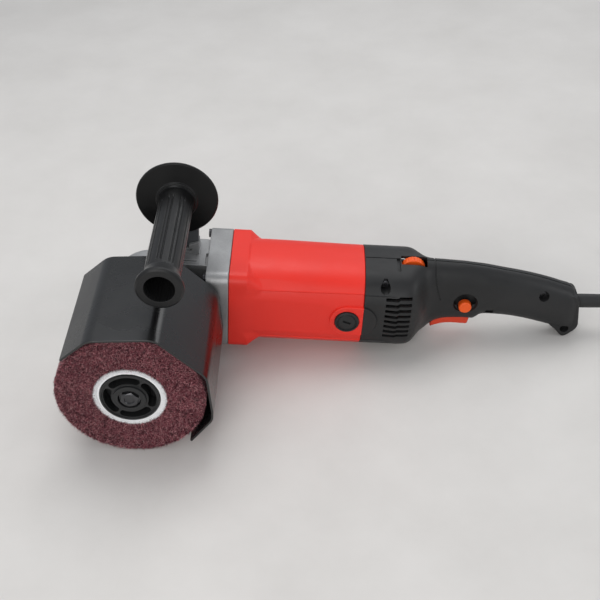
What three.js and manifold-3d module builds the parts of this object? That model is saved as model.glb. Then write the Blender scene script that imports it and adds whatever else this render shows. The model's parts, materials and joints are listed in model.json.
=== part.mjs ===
// Hand-held drum sander: a spindle drum under a sheet guard, driven through a bevel gear by a
// motor in a long body. Lengths are millimetres. Tool frame: origin on the spindle axis at the
// guard's back wall, +X towards the cord, +Y away from the drum, +Z up. The tool then leans back
// so that the drum and the tail lug both stand on z = 0.
import * as THREE from 'three';
import { mergeVertices } from 'three/addons/utils/BufferGeometryUtils.js';
import Module from 'manifold-3d';

const wasm = await Module();
wasm.setup();

// ---- driving dimensions -------------------------------------------------------------------
const GAP = 0.3; // clearance between touching pieces
const DRUM = { radius: 60, near: -104, far: -4, core: 29.2, coreWall: 4.6 };
const SPINDLE = { radius: 9.5, near: -96, shoulder: 13, tail: 5, end: 62 };
const MOTOR_Y = 44.65; // the motor shaft runs along X at this y and z = 0
const BODY_Z = 1.2; // centre height of the housings
const BODY = { half: 41.2, height: 41.1, power: 2.7, front: 70.8, round: 96.7, back: 189.2 };
const FLANGE = { half: 40, corner: 9, front: 50.5, back: 70.5 };
const CASE = { radius: 34, near: 23.5, far: 60, top: 38 };
const GEAR = { outer: 28.5, inner: 18.5, teeth: 32, pinionTeeth: 8 };
const GUARD = { near: -108.6, sheet: 1.8, bend: 6 };
const GRIP = { x: 24.2, z: 95.5, near: -84.8, far: 42.3, radius: 14.5, disc: 35 };
const COMMUTATOR = { radius: 13, front: 169, back: 186 };
const BRUSH_X = 175.3;
const CORE = { front: 108, back: 158 };
const STATOR_RADIUS = 36.2;
const BORE = 36.5; // motor housing bore
const DIAL = { x: 233, z: 31, radius: 12, width: 7 };
const LOCK = { x: 282.2, z: 3.4, radius: 6.3, travel: 3 };
const TRIGGER_HALF = 8;
const SHELL_WALL = 2.6;
const LUG = { x: 378, z: -30.5 }; // lowest point of the tail
const HANG_HOLE = { x: 378.2, z: -20.8, radius: 4 };
const SLEEVE = { start: 366, length: 80, z: 3.4, rise: 2.6 };
const CORD_RADIUS = 3.75;
const COIL = { x: 393.3, y: 107.4, inner: 25.2, outer: 56.1, height: 15.2 };

// ---- materials ----------------------------------------------------------------------------
const paint = (color, roughness, metalness) =>
  new THREE.MeshStandardMaterial({ color, roughness, metalness });
const RED = paint(0xe0483a, 0.4, 0);
const BLACK = paint(0x2c2d2e, 0.6, 0);
const SOFT_BLACK = paint(0x1c1c1d, 0.7, 0);
const ORANGE = paint(0xe8591f, 0.45, 0);
const TRIGGER_RED = paint(0xc2452a, 0.5, 0);
const ALUMINIUM = paint(0x9fa2a4, 0.5, 0.9);
const STEEL = paint(0xb4b7ba, 0.3, 1);
const DARK_STEEL = paint(0x303234, 0.45, 0.8);
const GUARD_PAINT = paint(0x242526, 0.35, 0.2);
const ABRASIVE = paint(0x6e3338, 0.95, 0);
const CORE_WHITE = paint(0xe8e8ea, 0.8, 0);
const COPPER = paint(0xb06a38, 0.35, 0.9);
const BRASS = paint(0xc9a24a, 0.35, 0.9);
const CARBON = paint(0x222222, 0.8, 0.1);
const BOARD = paint(0x2f5d3a, 0.6, 0);
const GREY = paint(0x4a4d50, 0.5, 0.2);

// ---- solids -------------------------------------------------------------------------------
function signedVolume(position, faces) {
  const a = new THREE.Vector3();
  const b = new THREE.Vector3();
  const c = new THREE.Vector3();
  let sum = 0;
  for (const [i, j, k] of faces) {
    a.fromBufferAttribute(position, i);
    b.fromBufferAttribute(position, j);
    c.fromBufferAttribute(position, k);
    sum += a.dot(b.cross(c));
  }
  return sum / 6;
}

// A closed three.js geometry as a solid with its faces pointing out.
function solid(source) {
  const bare = source.clone();
  bare.deleteAttribute('normal');
  bare.deleteAttribute('uv');
  const merged = mergeVertices(bare, 1e-4);
  const index = merged.index.array;
  const faces = [];
  for (let i = 0; i < index.length; i += 3) {
    const [a, b, c] = [index[i], index[i + 1], index[i + 2]];
    if (a !== b && b !== c && c !== a) faces.push([a, b, c]);
  }
  if (signedVolume(merged.attributes.position, faces) < 0) faces.forEach((face) => face.reverse());
  const vertProperties = Float32Array.from(merged.attributes.position.array);
  const triVerts = Uint32Array.from(faces.flat());
  return new wasm.Manifold(new wasm.Mesh({ numProp: 3, vertProperties, triVerts }));
}

function surface(body) {
  const mesh = body.getMesh();
  const geometry = new THREE.BufferGeometry();
  geometry.setAttribute('position', new THREE.BufferAttribute(mesh.vertProperties, 3));
  geometry.setIndex(new THREE.BufferAttribute(mesh.triVerts, 1));
  geometry.computeVertexNormals();
  return geometry;
}

const join = (first, ...others) => others.reduce((body, other) => body.add(other), first);
const cut = (body, ...tools) => tools.reduce((rest, tool) => rest.subtract(tool), body);

// Local axes that lay a lathe's or an extrusion's own axes along the tool's.
const LATHE_TURN = { x: [0, 0, -Math.PI / 2], y: [0, 0, 0], z: [Math.PI / 2, 0, 0] };
const EXTRUDE_BASIS = {
  x: [[0, 1, 0], [0, 0, 1], [1, 0, 0]],
  y: [[1, 0, 0], [0, 0, 1], [0, -1, 0]],
  z: [[1, 0, 0], [0, 1, 0], [0, 0, 1]],
};

// Centre of something that runs along an axis: the two other coordinates, in X, Y, Z order.
function across(axis, [first, second], along) {
  if (axis === 'x') return [along, first, second];
  if (axis === 'y') return [first, along, second];
  return [first, second, along];
}

function box([x0, x1], [y0, y1], [z0, z1]) {
  const geometry = new THREE.BoxGeometry(x1 - x0, y1 - y0, z1 - z0);
  geometry.translate((x0 + x1) / 2, (y0 + y1) / 2, (z0 + z1) / 2);
  return solid(geometry);
}

// A body of revolution; the profile lists [radius, place along the axis].
function turned(axis, profile, centre = [0, 0], sides = 24) {
  const points = profile.map(([radius, along]) => new THREE.Vector2(radius, along));
  const closes = profile[0][0] > 0 || profile.at(-1)[0] > 0;
  if (closes) points.push(points[0].clone());
  const geometry = new THREE.LatheGeometry(points, sides);
  geometry.applyMatrix4(new THREE.Matrix4().makeRotationFromEuler(new THREE.Euler(...LATHE_TURN[axis])));
  geometry.translate(...across(axis, centre, 0));
  return solid(geometry);
}

const rod = (axis, radius, from, to, centre = [0, 0], sides = 20) =>
  turned(axis, [[0, from], [radius, from], [radius, to], [0, to]], centre, sides);
const ring = (axis, inner, outer, from, to, centre = [0, 0], sides = 24) =>
  turned(axis, [[inner, from], [outer, from], [outer, to], [inner, to]], centre, sides);

// An outline pushed along an axis; its points are the two other coordinates, in X, Y, Z order.
function pushed(axis, shape, from, to, curveSegments = 6) {
  const corners = Array.isArray(shape) ? shape.map(([a, b]) => new THREE.Vector2(a, b)) : null;
  const outline = corners ? new THREE.Shape(corners) : shape;
  const geometry = new THREE.ExtrudeGeometry(outline, {
    depth: to - from, bevelEnabled: false, steps: 1, curveSegments,
  });
  const basis = EXTRUDE_BASIS[axis].map((column) => new THREE.Vector3(...column));
  geometry.applyMatrix4(new THREE.Matrix4().makeBasis(...basis));
  geometry.translate(...across(axis, [0, 0], axis === 'y' ? to : from));
  return solid(geometry);
}

function roundedSquare(half, corner, [a, b]) {
  const shape = new THREE.Shape();
  const turn = Math.PI / 2;
  [[1, 1], [-1, 1], [-1, -1], [1, -1]].forEach(([sx, sy], i) => {
    const x = a + sx * (half - corner);
    const y = b + sy * (half - corner);
    shape.absarc(x, y, corner, i * turn, (i + 1) * turn, false);
  });
  shape.closePath();
  return shape;
}

// Skinned sections: each station is {x, z, w, h, power}, a superellipse across X.
function loft(stations, sides) {
  const last = stations.length - 1;
  const geometry = new THREE.CylinderGeometry(1, 1, 1, sides, last);
  const place = geometry.attributes.position;
  for (let i = 0; i < place.count; i += 1) {
    const station = stations[Math.round((0.5 - place.getY(i)) * last)];
    const size = Math.hypot(place.getX(i), place.getZ(i));
    const angle = Math.atan2(place.getX(i), place.getZ(i));
    const round = (value) =>
      (Math.abs(value) < 1e-5 ? 0 : Math.sign(value) * Math.abs(value) ** (2 / station.power));
    const y = MOTOR_Y + size * station.w * round(Math.cos(angle));
    place.setXYZ(i, station.x, y, station.z + size * station.h * round(Math.sin(angle)));
  }
  return solid(geometry);
}

function tube(points, radius, sides, steps) {
  const path = new THREE.CatmullRomCurve3(points.map((point) => new THREE.Vector3(...point)));
  const section = new THREE.Shape();
  for (let i = 0; i < sides; i += 1) {
    const angle = (2 * Math.PI * i) / sides;
    const spot = [radius * Math.cos(angle), radius * Math.sin(angle)];
    if (i === 0) section.moveTo(...spot);
    else section.lineTo(...spot);
  }
  return solid(new THREE.ExtrudeGeometry(section, { steps, extrudePath: path, bevelEnabled: false }));
}

// ---- scene graph --------------------------------------------------------------------------
const machine = new THREE.Group();
const tool = new THREE.Group();
machine.add(tool);

function add(name, body, material, position = [0, 0, 0], parent = tool) {
  const mesh = new THREE.Mesh(surface(body), material);
  mesh.name = name;
  mesh.position.set(...position);
  parent.add(mesh);
}

// ---- drum and spindle, turning about Y ----------------------------------------------------
const KEY = { half: 2.5, low: 7.2, high: 11.6, near: -92, far: -12 };

function kidneySlots(inner, outer, from, to) {
  const half = 0.46;
  return [0, 1, 2, 3].map((quarter) => {
    const middle = 0.25 + quarter * Math.PI / 2;
    const slot = new THREE.Shape();
    slot.absarc(0, 0, outer, middle - half, middle + half, false);
    slot.absarc(0, 0, inner, middle + half, middle - half, true);
    slot.closePath();
    return pushed('y', slot, from, to, 3);
  });
}

function keyWay(near, far) {
  return box([-KEY.half - GAP, KEY.half + GAP], [near, far], [0, KEY.high + GAP]);
}

function drum() {
  add('abrasive_drum', ring('y', DRUM.core + GAP, DRUM.radius, DRUM.near, DRUM.far, [0, 0], 60), ABRASIVE);
  const coreInner = DRUM.core - DRUM.coreWall;
  add('drum_core', ring('y', coreInner, DRUM.core, DRUM.near, DRUM.far, [0, 0], 30), CORE_WHITE);

  const rim = coreInner - GAP;
  const nearCap = turned('y', [
    [4.6, -100.5], [9, -100.5], [9, -108], [13.3, -108], [13.3, -103], [21.8, -103], [21.8, -105.4],
    [rim, -105.4], [rim, -96], [21.8, -96], [21.8, -99], [4.6, -99],
  ], [0, 0], 24);
  add('hub_cap_near', cut(nearCap, ...kidneySlots(15.4, 21, -104, -98)), BLACK);
  const bore = SPINDLE.radius + GAP;
  const farCap = ring('y', bore, rim, -12, DRUM.far, [0, 0], 28);
  add('hub_cap_far', cut(farCap, keyWay(-13, -3), ...kidneySlots(14.5, 21, -13, -3)), BLACK);
  const bolt = join(rod('y', 7.4, -106.4, -101.6, [0, 0], 6), rod('y', 8.6, -102, -100.8, [0, 0], 20),
    rod('y', 3.9, -102, -76, [0, 0], 14));
  add('drum_bolt', bolt, DARK_STEEL);
}

function spindle() {
  const shaft = turned('y', [
    [4.2, SPINDLE.near], [SPINDLE.radius, SPINDLE.near], [SPINDLE.radius, -3.6], [SPINDLE.shoulder, -3.6],
    [SPINDLE.shoulder, 4.6], [SPINDLE.radius, 4.6], [SPINDLE.radius, 36], [SPINDLE.tail, 36],
    [SPINDLE.tail, SPINDLE.end], [0, SPINDLE.end], [0, -72], [4.2, -72],
  ], [0, 0], 24);
  const seat = box([-KEY.half - GAP, KEY.half + GAP], [KEY.near - GAP, KEY.far + GAP], [KEY.low - GAP, 12]);
  add('spindle', cut(shaft, seat), STEEL);
  const key = box([-KEY.half, KEY.half], [KEY.near, KEY.far], [KEY.low, KEY.high]);
  add('spindle_key', key, STEEL);
}

// ---- bevel gears: every tooth tapers to the point where the two axes cross -----------------
const RATIO = GEAR.teeth / GEAR.pinionTeeth;
const PITCH_ARC = 2 * Math.PI * GEAR.outer / GEAR.teeth;
const ADDENDUM = 1.2;
const DEDENDUM = 1.7;

function tapered(geometry, place) {
  const spots = geometry.attributes.position;
  for (let i = 0; i < spots.count; i += 1) {
    spots.setXYZ(i, ...place(spots.getX(i), spots.getY(i), spots.getZ(i)));
  }
  return solid(geometry);
}

function ringTooth(angle) {
  const tip = 0.12 * PITCH_ARC;
  const foot = 0.3 * PITCH_ARC;
  const body = tapered(new THREE.BoxGeometry(1, 1, 1), (x, y, z) => {
    const reach = x > 0 ? GEAR.outer : GEAR.inner;
    const scale = reach / GEAR.outer;
    const rise = y > 0 ? ADDENDUM : -DEDENDUM - 0.4;
    const half = y > 0 ? tip : foot;
    return [reach, MOTOR_Y - reach / RATIO + rise * scale, 2 * z * half * scale];
  });
  return body.rotate([0, THREE.MathUtils.radToDeg(angle), 0]);
}

function ringGear() {
  const rootAt = (reach) => MOTOR_Y - reach / RATIO - DEDENDUM * reach / GEAR.outer;
  const blank = turned('y', [
    [SPINDLE.radius + GAP, 27], [GEAR.outer, 27], [GEAR.outer, rootAt(GEAR.outer)],
    [GEAR.inner, rootAt(GEAR.inner)], [14, 35.5], [SPINDLE.radius + GAP, 35.5],
  ], [0, 0], GEAR.teeth / 2);
  const teeth = [];
  for (let i = 0; i < GEAR.teeth; i += 1) teeth.push(ringTooth((i + 0.5) * 2 * Math.PI / GEAR.teeth));
  add('bevel_ring_gear', join(blank, ...teeth), STEEL);
}

function pinion() {
  const pitch = GEAR.outer / RATIO;
  const step = 2 * Math.PI / GEAR.pinionTeeth;
  const root = pitch - DEDENDUM;
  const tip = pitch + ADDENDUM;
  const outline = [];
  for (let i = 0; i < GEAR.pinionTeeth; i += 1) {
    const middle = -Math.PI / 2 + i * step;
    const corners = [[root, -0.29], [tip, -0.11], [tip, 0.11], [root, 0.29]];
    corners.forEach(([radius, turn]) => {
      const angle = middle + turn * step;
      outline.push(new THREE.Vector2(radius * Math.sin(angle), radius * Math.cos(angle)));
    });
  }
  const shape = new THREE.Shape(outline.reverse());
  const geometry = new THREE.ExtrudeGeometry(shape, { depth: 1, bevelEnabled: false });
  const body = tapered(geometry, (x, y, z) => {
    const reach = z > 0.5 ? GEAR.outer : GEAR.inner;
    const scale = reach / GEAR.outer;
    return [reach, x * scale, y * scale];
  });
  const bored = cut(body, rod('x', 2.8, 10, 40, [0, 0], 16));
  add('bevel_pinion', bored, STEEL, [0, MOTOR_Y, 0]);
}

// ---- gear case ----------------------------------------------------------------------------
const CORNERS = [[-1, -1], [1, -1], [1, 1], [-1, 1]];
const SCREW_SPREAD = 34;
const FRONT_BEARING = { inner: 5.3, outer: 13, from: 57, to: 66 };
const PAD = { front: 14, back: 42, near: 44, far: 60, top: 41.5 };

function capScrew(name, axis, position, { head, headLength, shank, length }, sign = 1) {
  const profile = [[0, 0], [head, 0], [head, sign * headLength], [shank, sign * headLength],
    [shank, sign * (headLength + length)], [0, sign * (headLength + length)]];
  add(name, turned(axis, profile, [0, 0], 10), DARK_STEEL, position);
}

function gearCase() {
  const nose = turned('y', [[0, CASE.near], [CASE.radius, CASE.near], [CASE.radius, 50],
    [CASE.radius - 7, CASE.far], [0, CASE.far]], [0, 0], 28);
  const block = box([6, FLANGE.front + 1], [CASE.near, 66], [-33, CASE.top]);
  const flange = pushed('x', roundedSquare(FLANGE.half, FLANGE.corner, [MOTOR_Y, BODY_Z]),
    FLANGE.front, FLANGE.back);
  const pad = box([PAD.front, PAD.back], [PAD.near, PAD.far], [CASE.top - 1, PAD.top]);
  const tailBoss = rod('y', 17, CASE.far - 1, 65, [0, 0], 24);
  const pocket = box([20, 39], [28, 41], [CASE.top - 2.5, CASE.top + 1]);
  const gearRoom = rod('y', 30.4, CASE.near - 1, 54, [0, 0], 28);
  const tailSeat = rod('y', 13.3, 53, 62.6, [0, 0], 24);
  const pinionRoom = rod('x', 18, 0, FRONT_BEARING.from - 1, [MOTOR_Y, 0], 20);
  const shaftSeat = rod('x', FRONT_BEARING.outer + GAP, 50, 72, [MOTOR_Y, 0], 24);
  const fanRoom = rod('x', 33, FRONT_BEARING.to, 72, [MOTOR_Y, BODY_Z], 28);
  const body = cut(join(nose, block, flange, pad, tailBoss), pocket, gearRoom, tailSeat, pinionRoom,
    shaftSeat, fanRoom);
  const holes = CORNERS.map(([sy, sz]) =>
    rod('x', 2.8, 40, 72, [MOTOR_Y + sy * SCREW_SPREAD, BODY_Z + sz * SCREW_SPREAD], 8));
  const plateHoles = CORNERS.map(([sx, sz]) => rod('y', 1.8, 20, 34, [sx * 24.2, sz * 24.2], 8));
  const footHoles = [20, 36].map((x) => rod('z', 1.9, 34, 43, [x, 55.5], 10));
  add('gear_case', cut(body, ...holes, ...plateHoles, ...footHoles), ALUMINIUM);

  CORNERS.forEach(([sy, sz], i) => {
    const place = [FLANGE.front - 2.7, MOTOR_Y + sy * SCREW_SPREAD, BODY_Z + sz * SCREW_SPREAD];
    capScrew(`gear_case_screw_${i + 1}`, 'x', place, { head: 3.9, headLength: 2.4, shank: 2.4, length: 31 });
  });
  add('spindle_rear_bearing', ring('y', 5.3, 13, 54.5, 62), STEEL);
  add('armature_front_bearing', ring('x', FRONT_BEARING.inner, FRONT_BEARING.outer, FRONT_BEARING.from,
    FRONT_BEARING.to, [MOTOR_Y, 0]), STEEL);
}

// ---- bearing box with the guard's neck -----------------------------------------------------
const NECK = { radius: 24, near: 0.6, plate: 15 };

function bearingBox() {
  const body = turned('y', [
    [15, NECK.near], [NECK.radius, NECK.near], [NECK.radius, NECK.plate], [35, NECK.plate],
    [35, CASE.near - GAP], [30.1, CASE.near - GAP], [30.1, 25], [21.3, 25], [21.3, 8], [15, 8],
  ], [0, 0], 28);
  const holes = CORNERS.map(([sx, sz]) => rod('y', 1.8, 10, 30, [sx * 24.2, sz * 24.2], 8));
  add('bearing_box', cut(body, ...holes), ALUMINIUM);
  add('spindle_front_bearing', ring('y', SPINDLE.radius + GAP, 21, 8.3, 23.5), STEEL);
}

// ---- guard --------------------------------------------------------------------------------
const GUARD_OUTLINE = [[-51.6, 40.4], [-30.1, 61], [22.3, 65.4], [62.5, 29.3], [67, -10], [66.6, -17.5],
  [49.2, -42.4]];

// The outline with each inner corner turned into an arc.
function filleted(points, radius, steps) {
  const spots = [points[0]];
  for (let i = 1; i < points.length - 1; i += 1) {
    const corner = new THREE.Vector2(...points[i]);
    const before = new THREE.Vector2(...points[i - 1]).sub(corner);
    const after = new THREE.Vector2(...points[i + 1]).sub(corner);
    const angle = Math.acos(before.dot(after) / before.length() / after.length());
    const room = Math.min(before.length(), after.length()) / 2.1;
    const reach = Math.min(radius * Math.tan((Math.PI - angle) / 2), room);
    const start = corner.clone().addScaledVector(before.normalize(), reach);
    const end = corner.clone().addScaledVector(after.normalize(), reach);
    const arc = new THREE.QuadraticBezierCurve(start, corner, end);
    arc.getPoints(steps).forEach((spot) => spots.push([spot.x, spot.y]));
  }
  spots.push(points.at(-1));
  return spots;
}

// A closed outline of even thickness to the right of an open line.
function strip(points, thickness) {
  const inside = points.map((point, i) => {
    const before = points[Math.max(i - 1, 0)];
    const after = points[Math.min(i + 1, points.length - 1)];
    const along = new THREE.Vector2(after[0] - before[0], after[1] - before[1]).normalize();
    return [point[0] + thickness * along.y, point[1] - thickness * along.x];
  });
  return [...points, ...inside.reverse()];
}

function guard() {
  const bent = filleted(GUARD_OUTLINE, GUARD.bend, 3);
  const hood = pushed('y', strip(bent, GUARD.sheet), GUARD.near, 0);
  const wallOutline = [...bent];
  const [startAngle, endAngle] = [-41, -218];
  for (let i = 0; i <= 12; i += 1) {
    const angle = THREE.MathUtils.degToRad(startAngle + (endAngle - startAngle) * i / 12);
    wallOutline.push([36 * Math.cos(angle), 36 * Math.sin(angle)]);
  }
  const wall = pushed('y', wallOutline, -GUARD.sheet, 0);
  const opening = rod('y', NECK.radius + 1, -5, 5, [0, 0], 28);
  const collar = ring('y', NECK.radius + 1, NECK.radius + 2.6, -GUARD.sheet, 3.4, [0, 0], 28);
  add('guard_hood', cut(join(hood, wall, collar), opening), GUARD_PAINT);

  const band = ring('y', NECK.radius + GAP, NECK.radius + 2.2, 4, 12, [0, 0], 28);
  const ears = box([24.5, 38], [4, 12], [-4.5, 4.5]);
  const slit = box([22, 40], [3, 13], [-1.2, 1.2]);
  const hole = rod('z', 2.2, -9, 9, [33, 8], 12);
  const clamp = cut(join(band, cut(ears, rod('y', NECK.radius + 1, 0, 20))), hole);
  add('guard_clamp_band', cut(clamp, slit).rotate([0, -34, 0]), DARK_STEEL);
  const screw = join(rod('z', 3.4, 4.8, 8.2, [33, 8], 16), rod('z', 1.9, -7.5, 5, [33, 8], 12));
  add('guard_clamp_screw', screw.rotate([0, -34, 0]), STEEL);
}

// ---- auxiliary grip -----------------------------------------------------------------------
const BRACKET = { near: 46.4, far: 52.4, foot: 4 };

function grip() {
  const { near, far, radius, disc } = GRIP;
  const handle = turned('y', [
    [12, near], [18, near], [19, near + 1.2], [19, near + 4], [radius, near + 12],
    [radius, far - 16], [16.5, far - 12], [16.5, far - 4.6], [disc - 1, far - 2.6], [disc, far - 1.4],
    [disc, far], [4.3, far], [4.3, 12], [12, 6],
  ], [0, 0], 28);
  add('side_grip', handle, SOFT_BLACK, [GRIP.x, 0, GRIP.z]);
  const bolt = join(rod('y', 4, 14, BRACKET.far + 1, [0, 0], 14),
    rod('y', 7.5, BRACKET.far + GAP, BRACKET.far + 6, [0, 0], 6));
  add('side_grip_bolt', bolt, STEEL, [GRIP.x, 0, GRIP.z]);

  const plate = new THREE.Shape();
  plate.moveTo(PAD.front, PAD.top + GAP);
  plate.lineTo(PAD.back - 0.5, PAD.top + GAP);
  plate.lineTo(PAD.back - 0.5, 78);
  plate.absarc(GRIP.x, GRIP.z, 16, -0.35, Math.PI + 0.35, false);
  plate.lineTo(PAD.front - 2, 70);
  plate.closePath();
  const upright = pushed('y', plate, BRACKET.near, BRACKET.far, 7);
  const foot = box([PAD.front, PAD.back - 0.5], [BRACKET.near, PAD.far],
    [PAD.top + GAP, PAD.top + BRACKET.foot]);
  const bore = rod('y', 4.3, 40, 60, [GRIP.x, GRIP.z], 14);
  const holes = [20, 36].map((x) => rod('z', 1.9, 40, 50, [x, 55.5], 10));
  add('grip_bracket', cut(join(upright, foot), bore, ...holes), GREY);
  [20, 36].forEach((x, i) => {
    capScrew(`grip_bracket_screw_${i + 1}`, 'z', [x, 55.5, PAD.top + BRACKET.foot + 3.4],
      { head: 3, headLength: 3.1, shank: 1.5, length: 9 }, -1);
  });
}

// ---- motor housing ------------------------------------------------------------------------
const BRUSH_SIDES = { near: -1, far: 1 };

function motorHousing() {
  const { front, round, back, half, height, power } = BODY;
  const outer = loft([
    { x: front, z: BODY_Z, w: FLANGE.half, h: FLANGE.half, power: 9 },
    { x: 84, z: BODY_Z, w: FLANGE.half, h: FLANGE.half, power: 9 },
    { x: 88, z: BODY_Z, w: FLANGE.half + 0.3, h: FLANGE.half, power: 6 },
    { x: 92.5, z: BODY_Z, w: half - 0.2, h: height - 0.3, power: 3.8 },
    { x: round, z: BODY_Z, w: half, h: height, power },
    { x: back, z: BODY_Z, w: half, h: height, power },
  ], 32);
  const bore = rod('x', BORE, front - 1, back + 1, [MOTOR_Y, 0], 32);
  const screwHoles = CORNERS.map(([sy, sz]) =>
    rod('x', 2.7, front - 1, 82, [MOTOR_Y + sy * SCREW_SPREAD, BODY_Z + sz * SCREW_SPREAD], 8));
  const brushHoles = Object.values(BRUSH_SIDES).flatMap((side) => [
    rod('y', 9.6, MOTOR_Y + side * 45 - 9, MOTOR_Y + side * 45 + 9, [BRUSH_X, 0], 20),
    rod('y', 11.1, MOTOR_Y + side * 43 - 3, MOTOR_Y + side * 43 + 3, [BRUSH_X, 0], 20),
  ]);
  add('motor_housing', cut(outer, bore, ...screwHoles, ...brushHoles), RED);
}

function brushGear() {
  Object.entries(BRUSH_SIDES).forEach(([name, side]) => {
    const span = (a, b) => [MOTOR_Y + side * a, MOTOR_Y + side * b].sort((p, q) => p - q);
    const holder = box([BRUSH_X - 6.5, BRUSH_X + 6.5], span(16, 38), [-5, 5]);
    const channel = box([BRUSH_X - 4.4, BRUSH_X + 4.4], span(15, 39), [-2.9, 2.9]);
    add(`brush_holder_${name}`, cut(holder, channel), BRASS);
    const brush = box([BRUSH_X - 4, BRUSH_X + 4], span(COMMUTATOR.radius + 0.25, 27), [-2.5, 2.5]);
    add(`carbon_brush_${name}`, brush, CARBON);
    const cap = turned('y', [
      [0, 38.3], [6, 38.3], [6, 40.3], [10.7, 40.3], [10.7, 42], [9.9, 42.9], [0, 42.9],
    ], [0, 0], 20);
    const slot = box([-5.5, 5.5], [41.6, 44], [-0.8, 0.8]);
    const turn = side > 0 ? 0 : 180;
    add(`brush_cap_${name}`, cut(cap, slot).rotate([0, 0, turn]), BLACK, [BRUSH_X, MOTOR_Y, 0]);
  });
}

// ---- armature, turning about X -------------------------------------------------------------
function armature() {
  const place = [0, MOTOR_Y, 0];
  const shaft = turned('x', [[0, 17.5], [2.5, 17.5], [2.5, 30], [5, 30], [5, 200.6], [0, 200.6]], [0, 0], 16);
  add('armature_shaft', shaft, STEEL, place);

  const stack = ring('x', 5.3, 20, CORE.front, CORE.back);
  const slots = [];
  for (let i = 0; i < 12; i += 1) {
    slots.push(box([CORE.front - 1, CORE.back + 1], [13, 21], [-1.4, 1.4]).rotate([i * 30 + 15, 0, 0]));
  }
  add('armature_core', cut(stack, ...slots), DARK_STEEL, place);
  const overhang = (from, to) => turned('x', [[5.3, from], [15, from], [18.6, from + (to - from) * 0.3],
    [18.6, from + (to - from) * 0.7], [15, to], [5.3, to]], [0, 0], 20);
  add('armature_winding_front', overhang(98, CORE.front - GAP), COPPER, place);
  add('armature_winding_rear', overhang(CORE.back + GAP, COMMUTATOR.front - GAP), COPPER, place);

  const segments = ring('x', 5.3, COMMUTATOR.radius, COMMUTATOR.front, COMMUTATOR.back, [0, 0], 32);
  const grooves = [];
  for (let i = 0; i < 16; i += 1) {
    const groove = box([COMMUTATOR.front + 3, COMMUTATOR.back + 1], [12, 14], [-0.3, 0.3]);
    grooves.push(groove.rotate([i * 22.5, 0, 0]));
  }
  add('commutator', cut(segments, ...grooves), COPPER, place);
  add('armature_rear_bearing', ring('x', 5.3, 10.8, 191.2, 200, [MOTOR_Y, 0], 20), STEEL);
}

function fan() {
  const hub = ring('x', 5.3, 10, 74, 92, [0, 0], 20);
  const backPlate = ring('x', 9, 31, 90, 92, [0, 0], 26);
  const blades = [];
  for (let i = 0; i < 13; i += 1) {
    blades.push(box([77, 90.5], [9.2, 31], [-0.8, 0.8]).rotate([i * 360 / 13, 0, 0]));
  }
  add('cooling_fan', join(hub, backPlate, ...blades), BLACK, [0, MOTOR_Y, 0]);
  add('fan_baffle', ring('x', 21, BORE - GAP, 93.5, 95.5, [MOTOR_Y, 0], 28), BLACK);
}

// ---- stator -------------------------------------------------------------------------------
function sector(inner, outer, middle, half, from, to) {
  const shape = new THREE.Shape();
  shape.absarc(0, 0, outer, middle - half, middle + half, false);
  shape.absarc(0, 0, inner, middle + half, middle - half, true);
  shape.closePath();
  return pushed('x', shape, from, to, 8);
}

function stator() {
  const place = [0, MOTOR_Y, 0];
  const poles = [0, Math.PI];
  const yoke = ring('x', 28, STATOR_RADIUS, CORE.front, CORE.back, [0, 0], 32);
  const shoes = poles.map((middle) => sector(20.8, 28.6, middle, 0.95, CORE.front, CORE.back));
  add('stator_core', join(yoke, ...shoes), DARK_STEEL, place);
  poles.forEach((middle, i) => {
    const loop = sector(21.5, 27.4, middle, 1.5, CORE.front - 8, CORE.back + 7);
    const window = sector(18, 31, middle, 1, CORE.front - 1, CORE.back + 1);
    add(`field_coil_${i + 1}`, cut(loop, window), COPPER, place);
  });
}

// ---- rear housing and handle: two shells that part on the plane y = MOTOR_Y -----------------
// Each station: x, crest height, underside height, half width, section power.
const SHELL_STATIONS = [
  [189.5, 42.3, -39.9, 41.2, 2.7], [227, 42.3, -39.9, 41.2, 2.7], [235, 42.2, -39.4, 38.2, 2.6],
  [241, 42.1, -37.9, 32, 2.5], [246, 42, -35.8, 23.6, 2.4], [251, 41.9, -32.5, 18.4, 2.3],
  [257, 41.8, -24.5, 16.8, 2.25], [264, 41.7, -20, 16.2, 2.2], [290, 39.7, -16.8, 15.8, 2.2],
  [300, 38.4, -12.9, 15.5, 2.2], [314, 36, -12.2, 15.3, 2.2], [335, 32.3, -14.1, 15.2, 2.25],
  [355, 27.6, -18.4, 15.2, 2.3], [370, 23, -22, 15, 2.4], [379, 19.6, -24, 14.4, 2.5],
  [383.5, 15, -24, 13, 2.5],
];
const TAIL_OUTLINE = [
  [362, 10], [380, 16], [384.6, 11.5], [388.4, 2], [390.3, -9], [390.2, -14.5], [386, -24.2],
  [381.8, -29.4], [LUG.x, LUG.z], [374.4, -27.6], [370.6, -23], [362, -16],
];
const VENT = { rows: 8, top: 23.2, pitch: 5.6, height: 2.3, front: 208.3, back: 230.6 };
const SHELL_SCREWS = [{ x: 207, z: 32.6, reach: 30 }, { x: 352, z: 16.6, reach: 12.5 }];
const TRIGGER_SLOT = { front: 254.2, back: 290.4, top: -8.4 };

function shellLoft(inset, firstX, lastX, sides) {
  const stations = SHELL_STATIONS
    .filter(([x]) => x <= lastX)
    .map(([x, top, bottom, w, power]) =>
      ({ x, z: (top + bottom) / 2, w: w - inset, h: (top - bottom) / 2 - inset, power }));
  stations[0].x = firstX;
  return loft(stations, sides);
}

function ventSlots(side) {
  const slots = [];
  const [y0, y1] = side < 0 ? [-3, 24] : [MOTOR_Y * 2 - 24, MOTOR_Y * 2 + 3];
  for (let row = 0; row < VENT.rows; row += 1) {
    const z = VENT.top - row * VENT.pitch;
    slots.push(box([VENT.front, VENT.back], [y0, y1], [z, z + VENT.height]));
  }
  return slots;
}

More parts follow.
